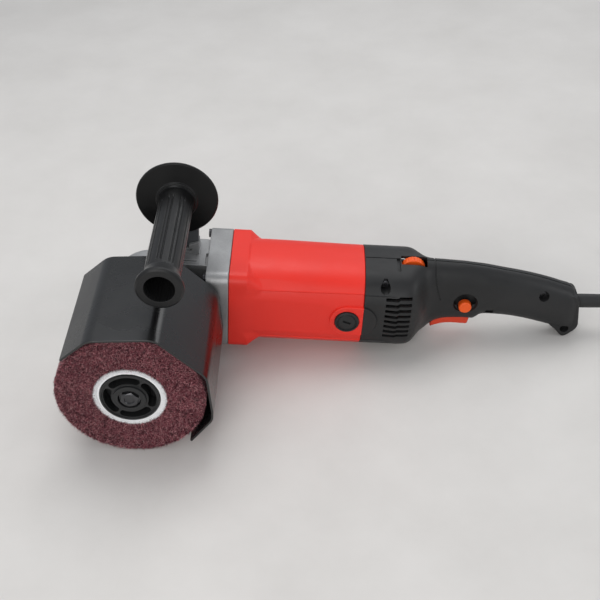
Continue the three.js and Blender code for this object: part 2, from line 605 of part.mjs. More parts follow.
function rearShells() {
  const outer = join(shellLoft(0, 189.5, 384, 24), pushed('y', TAIL_OUTLINE, MOTOR_Y - 11, MOTOR_Y + 11));
  const inner = shellLoft(SHELL_WALL, 188.5, 365, 16);
  const posts = SHELL_SCREWS.map(({ x, z, reach }) =>
    rod('y', 5.4, MOTOR_Y - reach, MOTOR_Y + reach, [x, z], 12));
  const dialSlot = box([DIAL.x - DIAL.radius - 0.4, DIAL.x + DIAL.radius + 0.8],
    [MOTOR_Y - 8.1, MOTOR_Y + 4.5], [DIAL.z, 50]);
  const groove = box([217, 221.6], [28.5, 60.8], [40, 46]);
  const triggerSlot = box([TRIGGER_SLOT.front, TRIGGER_SLOT.back],
    [MOTOR_Y - TRIGGER_HALF - 0.4, MOTOR_Y + TRIGGER_HALF + 0.4], [-40, TRIGGER_SLOT.top]);
  const hangHole = rod('y', HANG_HOLE.radius, 20, 70, [HANG_HOLE.x, HANG_HOLE.z], 14);
  const lockHole = rod('y', LOCK.radius + GAP, 20, MOTOR_Y - 5, [LOCK.x, LOCK.z], 20);
  const sleeveBore = sleevePart(6.7, 10, 34).add(sleevePart(9, -8, 12.3));
  const screwHoles = SHELL_SCREWS.flatMap(({ x, z, reach }) => [
    rod('y', 1.9, MOTOR_Y - reach - 8, MOTOR_Y + reach - 3, [x, z], 8),
    rod('y', 4, MOTOR_Y - reach - 12, MOTOR_Y - reach + 6, [x, z], 12),
  ]);
  const posted = cut(outer, inner).add(join(...posts).intersect(outer));
  const hollow = cut(posted, dialSlot, groove, triggerSlot, hangHole, lockHole, sleeveBore, ...screwHoles);
  const halfGap = 0.1;
  const nearSide = box([180, 400], [-20, MOTOR_Y - halfGap], [-60, 60]);
  const farSide = box([180, 400], [MOTOR_Y + halfGap, 110], [-60, 60]);
  add('rear_shell_near', cut(hollow.intersect(nearSide), ...ventSlots(-1)), BLACK);
  add('rear_shell_far', cut(hollow.intersect(farSide), ...ventSlots(1)), BLACK);
  SHELL_SCREWS.forEach(({ x, z, reach }, i) => {
    capScrew(`shell_screw_${i + 1}`, 'y', [x, MOTOR_Y - reach + 2.8, z],
      { head: 3.3, headLength: 2.9, shank: 1.5, length: reach * 2 - 12 });
  });
}

// ---- controls -----------------------------------------------------------------------------
function controls() {
  const trigger = pushed('y', [
    [256, -11.4], [254.9, -28.2], [260.3, -25.6], [266.7, -23.3], [273.5, -22.5], [284.4, -23],
    [288.8, -23], [289.8, -16.5], [289.8, -11.4],
  ], -TRIGGER_HALF, TRIGGER_HALF);
  add('trigger', trigger, TRIGGER_RED, [0, MOTOR_Y, 0]);
  const button = turned('y', [
    [0, 0], [LOCK.radius - 0.8, 0], [LOCK.radius, 0.8], [LOCK.radius, 5.6], [0, 5.6],
  ], [0, 0], 20);
  add('lock_button', button, ORANGE, [LOCK.x, 26.9, LOCK.z]);

  const knurls = [];
  for (let i = 0; i < 16; i += 1) {
    knurls.push(box([-0.8, 0.8], [-5, 5], [DIAL.radius - 0.7, DIAL.radius + 1]).rotate([0, i * 22.5, 0]));
  }
  const wheel = ring('y', 2.6, DIAL.radius, -DIAL.width / 2, DIAL.width / 2, [0, 0], 32);
  add('speed_dial', cut(wheel, ...knurls), ORANGE, [DIAL.x, MOTOR_Y, DIAL.z]);

  const board = box([210, 254], [MOTOR_Y - 13, MOTOR_Y + 13], [13, 14.6]);
  const pot = box([DIAL.x - 6, DIAL.x + 6], [MOTOR_Y + 5, MOTOR_Y + 12], [14, 36]);
  const axle = rod('y', 2.3, MOTOR_Y - 3.6, MOTOR_Y + 6, [DIAL.x, DIAL.z], 16);
  add('speed_board', join(board, pot, axle), BOARD);
  add('switch_body', box([262, 299], [MOTOR_Y - 8, MOTOR_Y + 8], [-5.5, 14.5]), BLACK);
}

function bearingBridge() {
  const place = [MOTOR_Y, 0];
  const rim = ring('x', 30, 35.5, 190.4, 196, place, 28);
  const cup = cut(rod('x', 14, 190.4, 202.5, place), rod('x', 11.1, 189, 200.3, place),
    rod('x', 6, 189, 210, place, 14));
  const spokes = [0, 60, 120].map((turn) =>
    box([190.4, 196], [-32, 32], [-3, 3]).rotate([turn, 0, 0]).translate([0, MOTOR_Y, 0]));
  const middle = rod('x', 12, 180, 210, place);
  add('bearing_bridge', join(rim, cup, ...spokes.map((spoke) => cut(spoke, middle))), BLACK);
}

// ---- cord outlet --------------------------------------------------------------------------
// A cylinder about the cord's outlet line, from and to counted along it from the sleeve's start.
function sleevePart(radius, from, to) {
  const body = rod('x', radius, from, to, [0, 0], 24).rotate([0, -SLEEVE.rise, 0]);
  return body.translate([SLEEVE.start, MOTOR_Y, SLEEVE.z]);
}

function outlet() {
  const sleeve = turned('x', [[0, 0.6], [8.4, 0.6], [8.4, 11.6], [6.35, 12], [6.35, 30], [5, SLEEVE.length],
    [0, SLEEVE.length]], [0, 0], 20);
  const place = [SLEEVE.start, MOTOR_Y, SLEEVE.z];
  add('strain_relief', sleeve.rotate([0, -SLEEVE.rise, 0]), SOFT_BLACK, place);
  const bar = box([328, 336], [MOTOR_Y - 10, MOTOR_Y + 10], [1, 10]);
  const bend = rod('x', 3.3, 320, 340, [MOTOR_Y, 3], 16);
  const mouth = box([320, 340], [MOTOR_Y - 3.3, MOTOR_Y + 3.3], [-1, 3]);
  add('cord_clamp', cut(bar, bend, mouth), BLACK);
}

// ---- free cord, on the surface that the tool stands on (machine frame) ----------------------
const OUTLET_Y = 55.2; // the cord runs straight away from the sleeve at this y
const CORD_ROUTE = [
  [252.76, 32.1], [262, 31.6], [274, 28.9], [288, 23], [302, 15.5], [316, 9], [329, 5.1], [341, 3.9],
  [352, 3.85], [364.5, 3.85],
].map(([x, z]) => [x, OUTLET_Y, z]);
const TAIL_Y = OUTLET_Y + 104.4;
const TAIL_ROUTE = [[364.5, 11.3], [350, 11], [336, 10], [322, 9.4]].map(([x, z]) => [x, TAIL_Y, z]);
const PLUG = { x: 321.6, z: 9.4 };

function freeCord() {
  add('cord', tube(CORD_ROUTE, CORD_RADIUS, 8, 12), SOFT_BLACK, [0, 0, 0], machine);
  add('cord_tail', tube(TAIL_ROUTE, CORD_RADIUS, 8, 4), SOFT_BLACK, [0, 0, 0], machine);
  const coil = ring('z', COIL.inner, COIL.outer, 0, COIL.height, [0, 0], 32);
  add('cord_coil', coil, SOFT_BLACK, [COIL.x, COIL.y, 0], machine);

  const handle = turned('x', [[0, -52], [11.5, -52], [13, -50], [13, -40], [9.4, -30], [7.4, -18],
    [5.4, -GAP],
    [0, -GAP]], [0, 0], 20);
  const pins = [-9.5, 9.5].map((y) => rod('x', 2, -71, -50, [y, 0], 10));
  const body = join(handle.scale([1, 1, 0.72]), ...pins);
  add('plug', body, SOFT_BLACK, [PLUG.x, TAIL_Y, PLUG.z], machine);
}

drum();
spindle();
ringGear();
pinion();
gearCase();
bearingBox();
guard();
grip();
motorHousing();
brushGear();
armature();
fan();
stator();
rearShells();
bearingBridge();
controls();
outlet();

// Lean the tool back until the drum and the tail lug stand at one height, then bring the middle
// of its footprint to the origin.
const lean = Math.asin(DRUM.radius / Math.hypot(LUG.x, LUG.z)) - Math.atan2(-LUG.z, LUG.x);
tool.rotation.y = lean;
machine.updateMatrixWorld(true);
const extent = new THREE.Box3().setFromObject(tool, true);
const middle = extent.getCenter(new THREE.Vector3());
tool.position.set(-middle.x, -middle.y, -extent.min.z);
freeCord();

export default machine;
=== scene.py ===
"""Looks for a hand-held drum sander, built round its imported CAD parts.

Shapes are written in the tool's own frame, in millimetres: origin on the spindle axis at the
guard's back wall, +X towards the cord, +Y away from the drum, +Z up. TOOL carries them into the
row frame, where the tool leans back on its drum and its tail lug.
"""
import json
import math
import random

import bmesh
import bpy
from mathutils import Matrix, Vector


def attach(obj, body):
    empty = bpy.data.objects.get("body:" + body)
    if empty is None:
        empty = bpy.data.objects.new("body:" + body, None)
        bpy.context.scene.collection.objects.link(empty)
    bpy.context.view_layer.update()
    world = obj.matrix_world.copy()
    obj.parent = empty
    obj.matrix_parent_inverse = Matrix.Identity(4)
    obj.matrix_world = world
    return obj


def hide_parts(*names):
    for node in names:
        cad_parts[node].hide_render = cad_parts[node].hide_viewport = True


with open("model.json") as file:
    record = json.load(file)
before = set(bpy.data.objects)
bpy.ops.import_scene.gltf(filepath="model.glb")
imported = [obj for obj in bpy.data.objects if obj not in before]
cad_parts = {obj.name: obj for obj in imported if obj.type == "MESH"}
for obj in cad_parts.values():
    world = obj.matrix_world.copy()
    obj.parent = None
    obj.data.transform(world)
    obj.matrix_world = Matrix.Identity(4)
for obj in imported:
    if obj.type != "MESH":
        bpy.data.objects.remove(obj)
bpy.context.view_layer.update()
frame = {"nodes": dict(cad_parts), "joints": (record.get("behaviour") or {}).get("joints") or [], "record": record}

MM = 0.001

# ---- the tool's frame, from the two joints that lie on its axes -----------------------------
JOINTS = {joint["name"]: joint for joint in frame["joints"]}
MOTOR_Y = 44.65
ALONG = Vector(JOINTS["armature_spin"]["axis"]).normalized()
ACROSS = Vector((0, 1, 0))
SPIN = JOINTS["drum_spin"]["pos_m"]
ORIGIN = Vector((SPIN[0], JOINTS["armature_spin"]["pos_m"][1] - MOTOR_Y * MM, SPIN[2]))
AXES = Matrix((ALONG, ACROSS, ALONG.cross(ACROSS))).transposed().to_4x4()
TOOL = Matrix.Translation(ORIGIN) @ AXES @ Matrix.Scale(MM, 4)

# ---- driving dimensions, millimetres and degrees --------------------------------------------
DRUM = {"radius": 60.0, "near": -104.0, "far": -4.0, "core": 29.2, "hub": 24.3}
FLANGE = {"half": 40.0, "corner": 9.0, "front": 50.5, "back": 70.5}
BODY = {"half": 41.2, "height": 41.1, "power": 2.7, "front": 70.8, "back": 189.2}
BODY_Z = 1.2
BORE = 36.5
GUARD = {"near": -108.6, "sheet": 1.8, "bend": 6.0}
GUARD_OUTLINE = [(-51.6, 40.4), (-30.1, 61), (22.3, 65.4), (62.5, 29.3), (67, -10), (66.6, -17.5),
                 (49.2, -42.4)]
GRIP = {"x": 24.2, "z": 95.5, "near": -84.8, "far": 42.3, "radius": 14.5, "disc": 35.0}
GRIP_AXIS = (GRIP["x"], GRIP["z"])
FLUTES = {"count": 9, "depth": 0.95, "margin": 17}
BRUSH_X = 175.3
BRUSH_PAD = {"radius": 15.5, "back": 186.4}
CLAMP = {"screw": (33, 8), "turn": -34}
ARM_SCREWS = {"xs": (20, 36), "y": 55.5}
NECK_SPREAD = 24.2
DIAL = {"x": 233.0, "z": 31.0, "radius": 11.2, "width": 7.0}
LOCK = {"x": 282.2, "z": 3.4}
HANG_HOLE = {"x": 378.2, "z": -20.8, "radius": 4.0}
SLEEVE = {"start": 366.0, "length": 80.0, "z": 3.4, "rise": math.radians(2.6)}
CORD_DIAMETER = 7.5
FINE_CREASE = 22

# ---- camera ---------------------------------------------------------------------------------
CAMERA = {
    "place": (-0.032619, -0.681404, 0.625006),
    "forward": (-0.02898101, 0.78203737, -0.62255735),
    "up": (0.0124426, 0.62305294, 0.7820807),
    "lens": 61.5,
    "sensor": 36.0,
}


def added(name, data):
    """A new object in the scene."""
    obj = bpy.data.objects.new(name, data)
    bpy.context.scene.collection.objects.link(obj)
    return obj


def make_camera():
    data = bpy.data.cameras.new("camera")
    data.lens = CAMERA["lens"]
    data.sensor_width = CAMERA["sensor"]
    data.clip_start = 0.01
    data.clip_end = 20
    camera = added("camera", data)
    forward = Vector(CAMERA["forward"]).normalized()
    right = forward.cross(Vector(CAMERA["up"])).normalized()
    turn = Matrix((right, right.cross(forward), -forward)).transposed()
    camera.matrix_world = Matrix.Translation(Vector(CAMERA["place"])) @ turn.to_4x4()
    bpy.context.scene.camera = camera


# ---- meshes ---------------------------------------------------------------------------------
def loose_object(name, points, faces):
    mesh = bpy.data.meshes.new(name)
    mesh.from_pydata([tuple(point) for point in points], [], faces)
    mesh.update()
    return added(name, mesh)


def solid_object(name, points, faces):
    """A closed mesh with its doubled points merged and its faces turned outwards."""
    obj = loose_object(name, points, faces)
    made = bmesh.new()
    made.from_mesh(obj.data)
    bmesh.ops.remove_doubles(made, verts=made.verts, dist=1e-4)
    bmesh.ops.recalc_face_normals(made, faces=made.faces)
    made.to_mesh(obj.data)
    made.free()
    return obj


def across(axis, pair, along):
    """The point with the two coordinates of pair, in X, Y, Z order, and along on the axis."""
    place = "xyz".index(axis)
    return (*pair[:place], along, *pair[place:])


def band_faces(rows, count, closed):
    """The faces between neighbouring rings, with count points in each ring."""
    faces = []
    for i in range(rows if closed else rows - 1):
        here, there = i * count, ((i + 1) % rows) * count
        for j in range(count):
            k = (j + 1) % count
            faces.append((here + j, here + k, there + k, there + j))
    return faces


def skin(name, rings, closed=False):
    """Rings of the same number of points, joined in order and capped, or closed into a loop."""
    count = len(rings[0])
    points = [point for ring in rings for point in ring]
    faces = band_faces(len(rings), count, closed)
    if not closed:
        faces.append(tuple(range(count)))
        faces.append(tuple((len(rings) - 1) * count + j for j in range(count)))
    return solid_object(name, points, faces)


def arc_corner(before, corner, after, radius, steps):
    """The points of a rounded corner."""
    corner = Vector(corner)
    into, out = Vector(before) - corner, Vector(after) - corner
    reach = min(radius, into.length * 0.48, out.length * 0.48)
    start, end = corner + into.normalized() * reach, corner + out.normalized() * reach
    spots = []
    for i in range(steps + 1):
        t = i / steps
        spots.append(tuple(start * (1 - t) ** 2 + corner * 2 * t * (1 - t) + end * t * t))
    return spots


def arc(centre, radius, start, sweep, steps):
    """Points along an arc, with both of its ends."""
    angles = [start + sweep * i / steps for i in range(steps + 1)]
    return [(centre[0] + radius * math.cos(angle), centre[1] + radius * math.sin(angle))
            for angle in angles]


def hexagon(radius, centre=(0, 0), turn=0.0):
    """The six corners, the first at the angle of turn."""
    return [(centre[0] + radius * math.cos(math.pi / 3 * i + turn),
             centre[1] + radius * math.sin(math.pi / 3 * i + turn)) for i in range(6)]


def rounded(points, radius, steps=3, closed=True):
    """An outline with its corners rounded; radius is one number or one for each point."""
    count = len(points)
    radii = radius if isinstance(radius, (list, tuple)) else [radius] * count
    spots = []
    for i, point in enumerate(points):
        ends = not closed and i in (0, count - 1)
        if ends or radii[i] == 0:
            spots.append(tuple(point))
        else:
            spots += arc_corner(points[i - 1], point, points[(i + 1) % count], radii[i], steps)
    return spots


def revolve(name, axis, profile, centre=(0, 0), sides=96, soft=0.4, wave=None):
    """A body of revolution about an axis. The profile lists (radius, place) and either closes or
    starts and ends on the axis; its corners are rounded by soft."""
    closes = profile[0][0] > 0
    line = rounded(profile, soft, closed=closes) if soft else list(profile)
    rings = []
    for radius, along in line:
        ring = []
        for i in range(sides):
            angle = 2 * math.pi * i / sides
            reach = max(radius, 1e-5) if wave is None else max(radius + wave(angle, along), 1e-5)
            pair = (centre[0] + reach * math.cos(angle), centre[1] + reach * math.sin(angle))
            ring.append(across(axis, pair, along))
        rings.append(ring)
    return skin(name, rings, closed=closes)


def rod(name, axis, radius, low, high, centre=(0, 0), sides=48, soft=0.0):
    profile = [(0, low), (radius, low), (radius, high), (0, high)]
    return revolve(name, axis, profile, centre, sides, soft)


def inset(outline, by):
    """A closed outline moved inwards by a distance."""
    count = len(outline)
    area = sum(outline[i][0] * outline[(i + 1) % count][1] - outline[(i + 1) % count][0]
               * outline[i][1] for i in range(count))
    sign = 1 if area > 0 else -1
    moved = []
    for i in range(count):
        here = Vector(outline[i])
        before = (here - Vector(outline[i - 1])).normalized()
        after = (Vector(outline[(i + 1) % count]) - here).normalized()
        normal_before = Vector((-before.y, before.x)) * sign
        normal_after = Vector((-after.y, after.x)) * sign
        middle = normal_before + normal_after
        if middle.length < 1e-6:
            middle = normal_after
        middle.normalize()
        reach = by / max(0.45, middle.dot(normal_after))
        moved.append(tuple(here + middle * reach))
    return moved


def prism(name, axis, outline, low, high, soft=0.6, steps=3):
    """An outline pushed along an axis, with its rims rounded by soft."""
    if soft:
        levels = []
        for i in range(steps + 1):
            angle = math.pi / 2 * i / steps
            levels.append((soft * (1 - math.sin(angle)), low + soft * (1 - math.cos(angle))))
        levels += [(by, high - (along - low)) for by, along in reversed(levels)]
    else:
        levels = [(0, low), (0, high)]
    rings = [[across(axis, spot, along) for spot in (inset(outline, by) if by else outline)]
             for by, along in levels]
    return skin(name, rings)


def block(name, xs, ys, zs, soft=0.6, corner=1.0):
    outline = rounded([(xs[0], ys[0]), (xs[1], ys[0]), (xs[1], ys[1]), (xs[0], ys[1])], corner)
    return prism(name, "z", outline, zs[0], zs[1], soft)


def signed_power(value, power):
    return math.copysign(abs(value) ** power, value)


def remove(obj):
    mesh = obj.data
    bpy.data.objects.remove(obj)
    bpy.data.meshes.remove(mesh)


def boolean(obj, others, operation):
    for other in others:
        modifier = obj.modifiers.new("boolean", "BOOLEAN")
        modifier.operation = operation
        modifier.solver = "EXACT"
        modifier.object = other
    graph = bpy.context.evaluated_depsgraph_get()
    mesh = bpy.data.meshes.new_from_object(obj.evaluated_get(graph))
    if not mesh.polygons:
        raise ValueError("nothing left of " + obj.name)
    old = obj.data
    obj.modifiers.clear()
    obj.data = mesh
    bpy.data.meshes.remove(old)
    for other in others:
        remove(other)
    return obj


def cut(obj, *others):
    return boolean(obj, others, "DIFFERENCE")


def join(obj, *others):
    return boolean(obj, others, "UNION")


def keep(obj, other):
    return boolean(obj, [other], "INTERSECT")


def gather(name, *objects):
    """Several solids that don't touch, as one object."""
    made = bmesh.new()
    for obj in objects:
        made.from_mesh(obj.data)
        remove(obj)
    mesh = bpy.data.meshes.new(name)
    made.to_mesh(mesh)
    made.free()
    return added(name, mesh)


def turned(obj, axis, degrees):
    obj.data.transform(Matrix.Rotation(math.radians(degrees), 4, axis))
    return obj


def shifted(obj, by):
    obj.data.transform(Matrix.Translation(Vector(by)))
    return obj


def piece(obj, finish, nodes=(), body="tool_body", crease=35, place=TOOL, weighted=True):
    """Carries a finished shape into the row frame and hands it to its body."""
    obj.data.transform(place)
    obj.data.materials.clear()
    obj.data.materials.append(MATERIALS[finish])
    obj.data.polygons.foreach_set("use_smooth", [True] * len(obj.data.polygons))
    obj.data.polygons.foreach_set("material_index", [0] * len(obj.data.polygons))
    obj.data.set_sharp_from_angle(angle=math.radians(crease))
    obj.data.update()
    if weighted:
        modifier = obj.modifiers.new("shade", "WEIGHTED_NORMAL")
        modifier.keep_sharp = True
    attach(obj, body)
    if nodes:
        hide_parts(*nodes)
    return obj


# ---- materials ------------------------------------------------------------------------------
class Shader:
    """A Principled material and the nodes that feed it, all read from the object's own space."""

    def __init__(self, name, **values):
        self.material = bpy.data.materials.new(name)
        self.material.use_nodes = True
        self.tree = self.material.node_tree
        self.bsdf = self.tree.nodes["Principled BSDF"]
        self.space = self.tree.nodes.new("ShaderNodeTexCoord").outputs["Object"]
        for key, value in values.items():
            self.bsdf.inputs[key].default_value = value

    def node(self, kind, inputs=None, **settings):
        made = self.tree.nodes.new(kind)
        for key, value in settings.items():
            setattr(made, key, value)
        for key, value in (inputs or {}).items():
            if isinstance(value, bpy.types.NodeSocket):
                self.tree.links.new(value, made.inputs[key])
            else:
                made.inputs[key].default_value = value
        return made

    def stretched(self, scale):
        return self.node("ShaderNodeMapping", {"Vector": self.space, "Scale": scale}).outputs[0]

    def noise(self, scale, detail=3.0, roughness=0.5, vector=None):
        inputs = {"Vector": vector or self.space, "Scale": scale, "Detail": detail,
                  "Roughness": roughness}
        return self.node("ShaderNodeTexNoise", inputs).outputs["Fac"]

    def ramp(self, factor, stops):
        made = self.node("ShaderNodeValToRGB", {"Fac": factor})
        elements = made.color_ramp.elements
        while len(elements) < len(stops):
            elements.new(0.5)
        for element, (place, colour) in zip(elements, stops):
            element.position = place
            element.color = (*colour, 1)
        return made.outputs["Color"]

    def span(self, factor, low, high, start=0.0, end=1.0):
        inputs = {"Value": factor, "From Min": start, "From Max": end, "To Min": low,
                  "To Max": high}
        return self.node("ShaderNodeMapRange", inputs).outputs["Result"]

    def blend(self, factor, first, second):
        made = self.tree.nodes.new("ShaderNodeMix")
        made.data_type = "RGBA"
        for socket, value in ((made.inputs[0], factor), (made.inputs[6], first),
                              (made.inputs[7], second)):
            if isinstance(value, bpy.types.NodeSocket):
                self.tree.links.new(value, socket)
            else:
                socket.default_value = (*value, 1) if isinstance(value, tuple) else value
        return made.outputs[2]

    def bump(self, height, strength, distance, normal=None):
        inputs = {"Height": height, "Strength": strength, "Distance": distance}
        if normal is not None:
            inputs["Normal"] = normal
        return self.node("ShaderNodeBump", inputs).outputs["Normal"]

    def feed(self, **sockets):
        names = {"colour": "Base Color", "roughness": "Roughness", "normal": "Normal"}
        for key, socket in sockets.items():
            self.tree.links.new(socket, self.bsdf.inputs[names[key]])
        return self.material


def shade(colour, by):
    return tuple(min(1.0, channel * by) for channel in colour)


def moulded(name, colour, roughness, grain=1500, depth=0.00006, spread=0.22, dust=1.7,
            shine=0.36):
    """Moulded plastic: a spark-eroded grain, faint flow marks and handling marks in its gloss."""
    look = Shader(name)
    flow = look.noise(14, 4, 0.55)
    tone = look.ramp(flow, [(0.3, shade(colour, 1 - spread)), (0.7, shade(colour, 1 + spread))])
    look.bsdf.inputs["Specular IOR Level"].default_value = shine
    motes = look.noise(420, 6, 0.7)
    dusty = look.blend(look.span(motes, 0, 0.35, 0.6, 0.78), tone, shade(colour, dust))
    scuffs = look.noise(55, 7, 0.62, look.stretched((1, 2.2, 1.4)))
    rough = look.span(scuffs, roughness - 0.08, roughness + 0.1, 0.3, 0.7)
    fine = look.bump(look.noise(grain, 2, 0.6), 0.35, depth)
    normal = look.bump(look.noise(38, 2, 0.4), 0.12, 0.0004, fine)
    return look.feed(colour=dusty, roughness=rough, normal=normal)


def grip_moulding(name, colour, shaded_span):
    """Moulded rubber that darkens out at its hand guard's disc: painted shade, faded in along Y."""
    material = moulded(name, colour, 0.36, grain=1100, shine=0.3)
    tree = material.node_tree
    bsdf = tree.nodes["Principled BSDF"]
    handle_tone = bsdf.inputs["Base Color"].links[0].from_socket
    place = tree.nodes.new("ShaderNodeSeparateXYZ")
    tree.links.new(tree.nodes["Texture Coordinate"].outputs["Object"], place.inputs[0])
    painted_shade_fade = tree.nodes.new("ShaderNodeMapRange")
    tree.links.new(place.outputs["Y"], painted_shade_fade.inputs["Value"])
    painted_shade_fade.inputs["From Min"].default_value, painted_shade_fade.inputs["From Max"].default_value = shaded_span
    mix = tree.nodes.new("ShaderNodeMix")
    mix.data_type = "RGBA"
    # painted shade: the hand guard's disc gets a quarter of the rubber's colour
    mix.inputs[7].default_value = (*shade(colour, 0.25), 1)
    tree.links.new(painted_shade_fade.outputs["Result"], mix.inputs[0])
    tree.links.new(handle_tone, mix.inputs[6])
    tree.links.new(mix.outputs[2], bsdf.inputs["Base Color"])
    return material


def cast(name, colour, roughness):
    """Die-cast aluminium: blasted skin with darker pores and brighter rubbed spots."""
    look = Shader(name, Metallic=0.6)
    patch = look.noise(30, 5, 0.6)
    tone = look.ramp(patch, [(0.3, shade(colour, 0.8)), (0.7, shade(colour, 1.18))])
    pores = look.noise(900, 5, 0.7)
    speckled = look.blend(look.span(pores, 0, 0.6, 0.54, 0.72), tone, shade(colour, 0.45))
    rough = look.span(patch, roughness + 0.08, roughness - 0.06, 0.3, 0.7)
    coarse = look.bump(look.noise(230, 4, 0.55), 0.3, 0.0003)
    normal = look.bump(pores, 0.45, 0.00012, coarse)
    return look.feed(colour=speckled, roughness=rough, normal=normal)


def machined(name, colour, roughness=0.28, metallic=1.0):
    """Turned or ground metal: fine lines and a little oil stain."""
    look = Shader(name, Metallic=metallic)
    lines = look.noise(260, 5, 0.6, look.stretched((1, 14, 1)))
    stain = look.noise(45, 5, 0.6)
    tone = look.ramp(stain, [(0.32, shade(colour, 0.72)), (0.66, colour)])
    rough = look.span(lines, roughness - 0.07, roughness + 0.12, 0.3, 0.7)
    return look.feed(colour=tone, roughness=rough, normal=look.bump(lines, 0.2, 0.00005))


def painted(name, colour, roughness):
    """Stove-enamelled sheet: a soft orange peel under a clear skin."""
    look = Shader(name)
    look.bsdf.inputs["Coat Weight"].default_value = 0.3
    look.bsdf.inputs["Coat Roughness"].default_value = 0.22
    patch = look.noise(22, 4, 0.5)
    tone = look.ramp(patch, [(0.3, shade(colour, 0.85)), (0.7, shade(colour, 1.25))])
    grit = look.noise(1200, 4, 0.7)
    dusty = look.blend(look.span(grit, 0, 0.15, 0.66, 0.8), tone, shade(colour, 2))
    rough = look.span(look.noise(30, 4, 0.5), roughness - 0.03, roughness + 0.05, 0.3, 0.7)
    peel = look.bump(look.noise(320, 2, 0.4), 0.15, 0.0001)
    return look.feed(colour=dusty, roughness=rough, normal=peel)


def fibres(name, stops):
    """Loose fibre: every strand has its own tone, with a faint sheen; the tones also hold painted shade deep in
    the mat and at the fibres' roots, and painted highlight at their tips.
    """
    look = Shader(name, Roughness=0.9)
    look.bsdf.inputs["Sheen Weight"].default_value = 0.15
    look.bsdf.inputs["Sheen Roughness"].default_value = 0.5
    look.bsdf.inputs["Specular IOR Level"].default_value = 0.25
    strand = look.node("ShaderNodeAttribute", attribute_name="strand").outputs["Fac"]
    mottle = look.noise(700, 3, 0.6)
    mixed = look.node("ShaderNodeMath", {0: strand, 1: look.span(mottle, -0.12, 0.12, 0.3, 0.7)},
                   operation="ADD").outputs[0]
    tone = look.ramp(mixed, stops)
    return look.feed(colour=tone, normal=look.bump(look.noise(1600, 3, 0.6), 0.5, 0.0002))


def wound(name, colour):
    """Enamelled wire, turn beside turn."""
    look = Shader(name, Metallic=0.85)
    turns = look.node("ShaderNodeTexWave", {"Vector": look.space, "Scale": 420.0, "Distortion": 1.5,
                                         "Detail": 2.0}).outputs["Fac"]
    # the colour drops to four tenths in the grooves between turns: painted shade
    tone = look.ramp(turns, [(0.1, shade(colour, 0.4)), (0.7, colour)])
    rough = look.span(look.noise(120, 3), 0.28, 0.5)
    return look.feed(colour=tone, roughness=rough, normal=look.bump(turns, 0.6, 0.0003))


MATERIALS = {
    "red_plastic": moulded("red_plastic", (0.80, 0.030, 0.018), 0.42, spread=0.04, depth=0.00003,
                           dust=1.15),
    "black_plastic": moulded("black_plastic", (0.0165, 0.0166, 0.017), 0.45),
    "hub_plastic": moulded("hub_plastic", (0.019, 0.0195, 0.02), 0.38, depth=0.00004),
    "orange_plastic": moulded("orange_plastic", (0.86, 0.105, 0.010), 0.36, spread=0.05, depth=0.00003,
                              dust=1.1),
    "trigger_red": moulded("trigger_red", (0.62, 0.050, 0.018), 0.42, spread=0.06, depth=0.00003,
                           dust=1.1),
    # the last pair is the stretch along Y where the painted shade on the hand guard's disc fades in
    "grip_rubber": grip_moulding("grip_rubber", (0.0135, 0.0136, 0.014), (0.028, 0.036)),
    "bracket_grey": painted("bracket_grey", (0.055, 0.058, 0.062), 0.4),
    "guard_paint": painted("guard_paint", (0.006, 0.0061, 0.0063), 0.27),
    "cast_aluminium": cast("cast_aluminium", (0.33, 0.331, 0.333), 0.5),
    "steel": machined("steel", (0.55, 0.555, 0.56)),
    "dark_steel": machined("dark_steel", (0.07, 0.07, 0.075), 0.38),
    "black_oxide": machined("black_oxide", (0.10, 0.10, 0.105), 0.32, 0.85),
    "brass": machined("brass", (0.60, 0.42, 0.15), 0.32),
    "copper": wound("copper", (0.55, 0.22, 0.09)),
    "carbon": moulded("carbon", (0.02, 0.02, 0.021), 0.7, grain=2200),
    "circuit_board": moulded("circuit_board", (0.03, 0.13, 0.05), 0.5),
    "cord_rubber": moulded("cord_rubber", (0.021, 0.0212, 0.0216), 0.48, grain=1800),
    "abrasive": fibres("abrasive", [
        (0.0, (0.008, 0.003, 0.005)), (0.25, (0.06, 0.013, 0.021)), (0.5, (0.17, 0.036, 0.052)),
        (0.75, (0.40, 0.125, 0.145)), (1.0, (0.78, 0.43, 0.44))]),
    "white_core": fibres("white_core", [(0.0, (0.62, 0.62, 0.63)), (0.6, (0.92, 0.92, 0.93))]),
}


# ---- cord -----------------------------------------------------------------------------------
# In metres. The route leaves the sleeve, drops to the floor that the tool stands on, and runs to
# the coil.
OUTLET_Y = 0.0552
CORD_ROUTE = [
    (0.25276, 0.0321), (0.262, 0.0316), (0.274, 0.0289), (0.288, 0.023), (0.302, 0.0155),
    (0.316, 0.009), (0.329, 0.0051), (0.341, 0.0039), (0.352, 0.00385), (0.3645, 0.00385),
    (0.378, 0.00385),
]
TAIL_Y = OUTLET_Y + 0.1044
TAIL_ROUTE = [(0.378, 0.0114), (0.3645, 0.0113), (0.350, 0.011), (0.336, 0.010), (0.322, 0.0094)]
COIL = {"x": 0.3933, "y": 0.1074, "wide": 0.0522, "tight": 0.0291, "pitch": 0.0077,
        "low": 0.00385, "high": 0.0114}


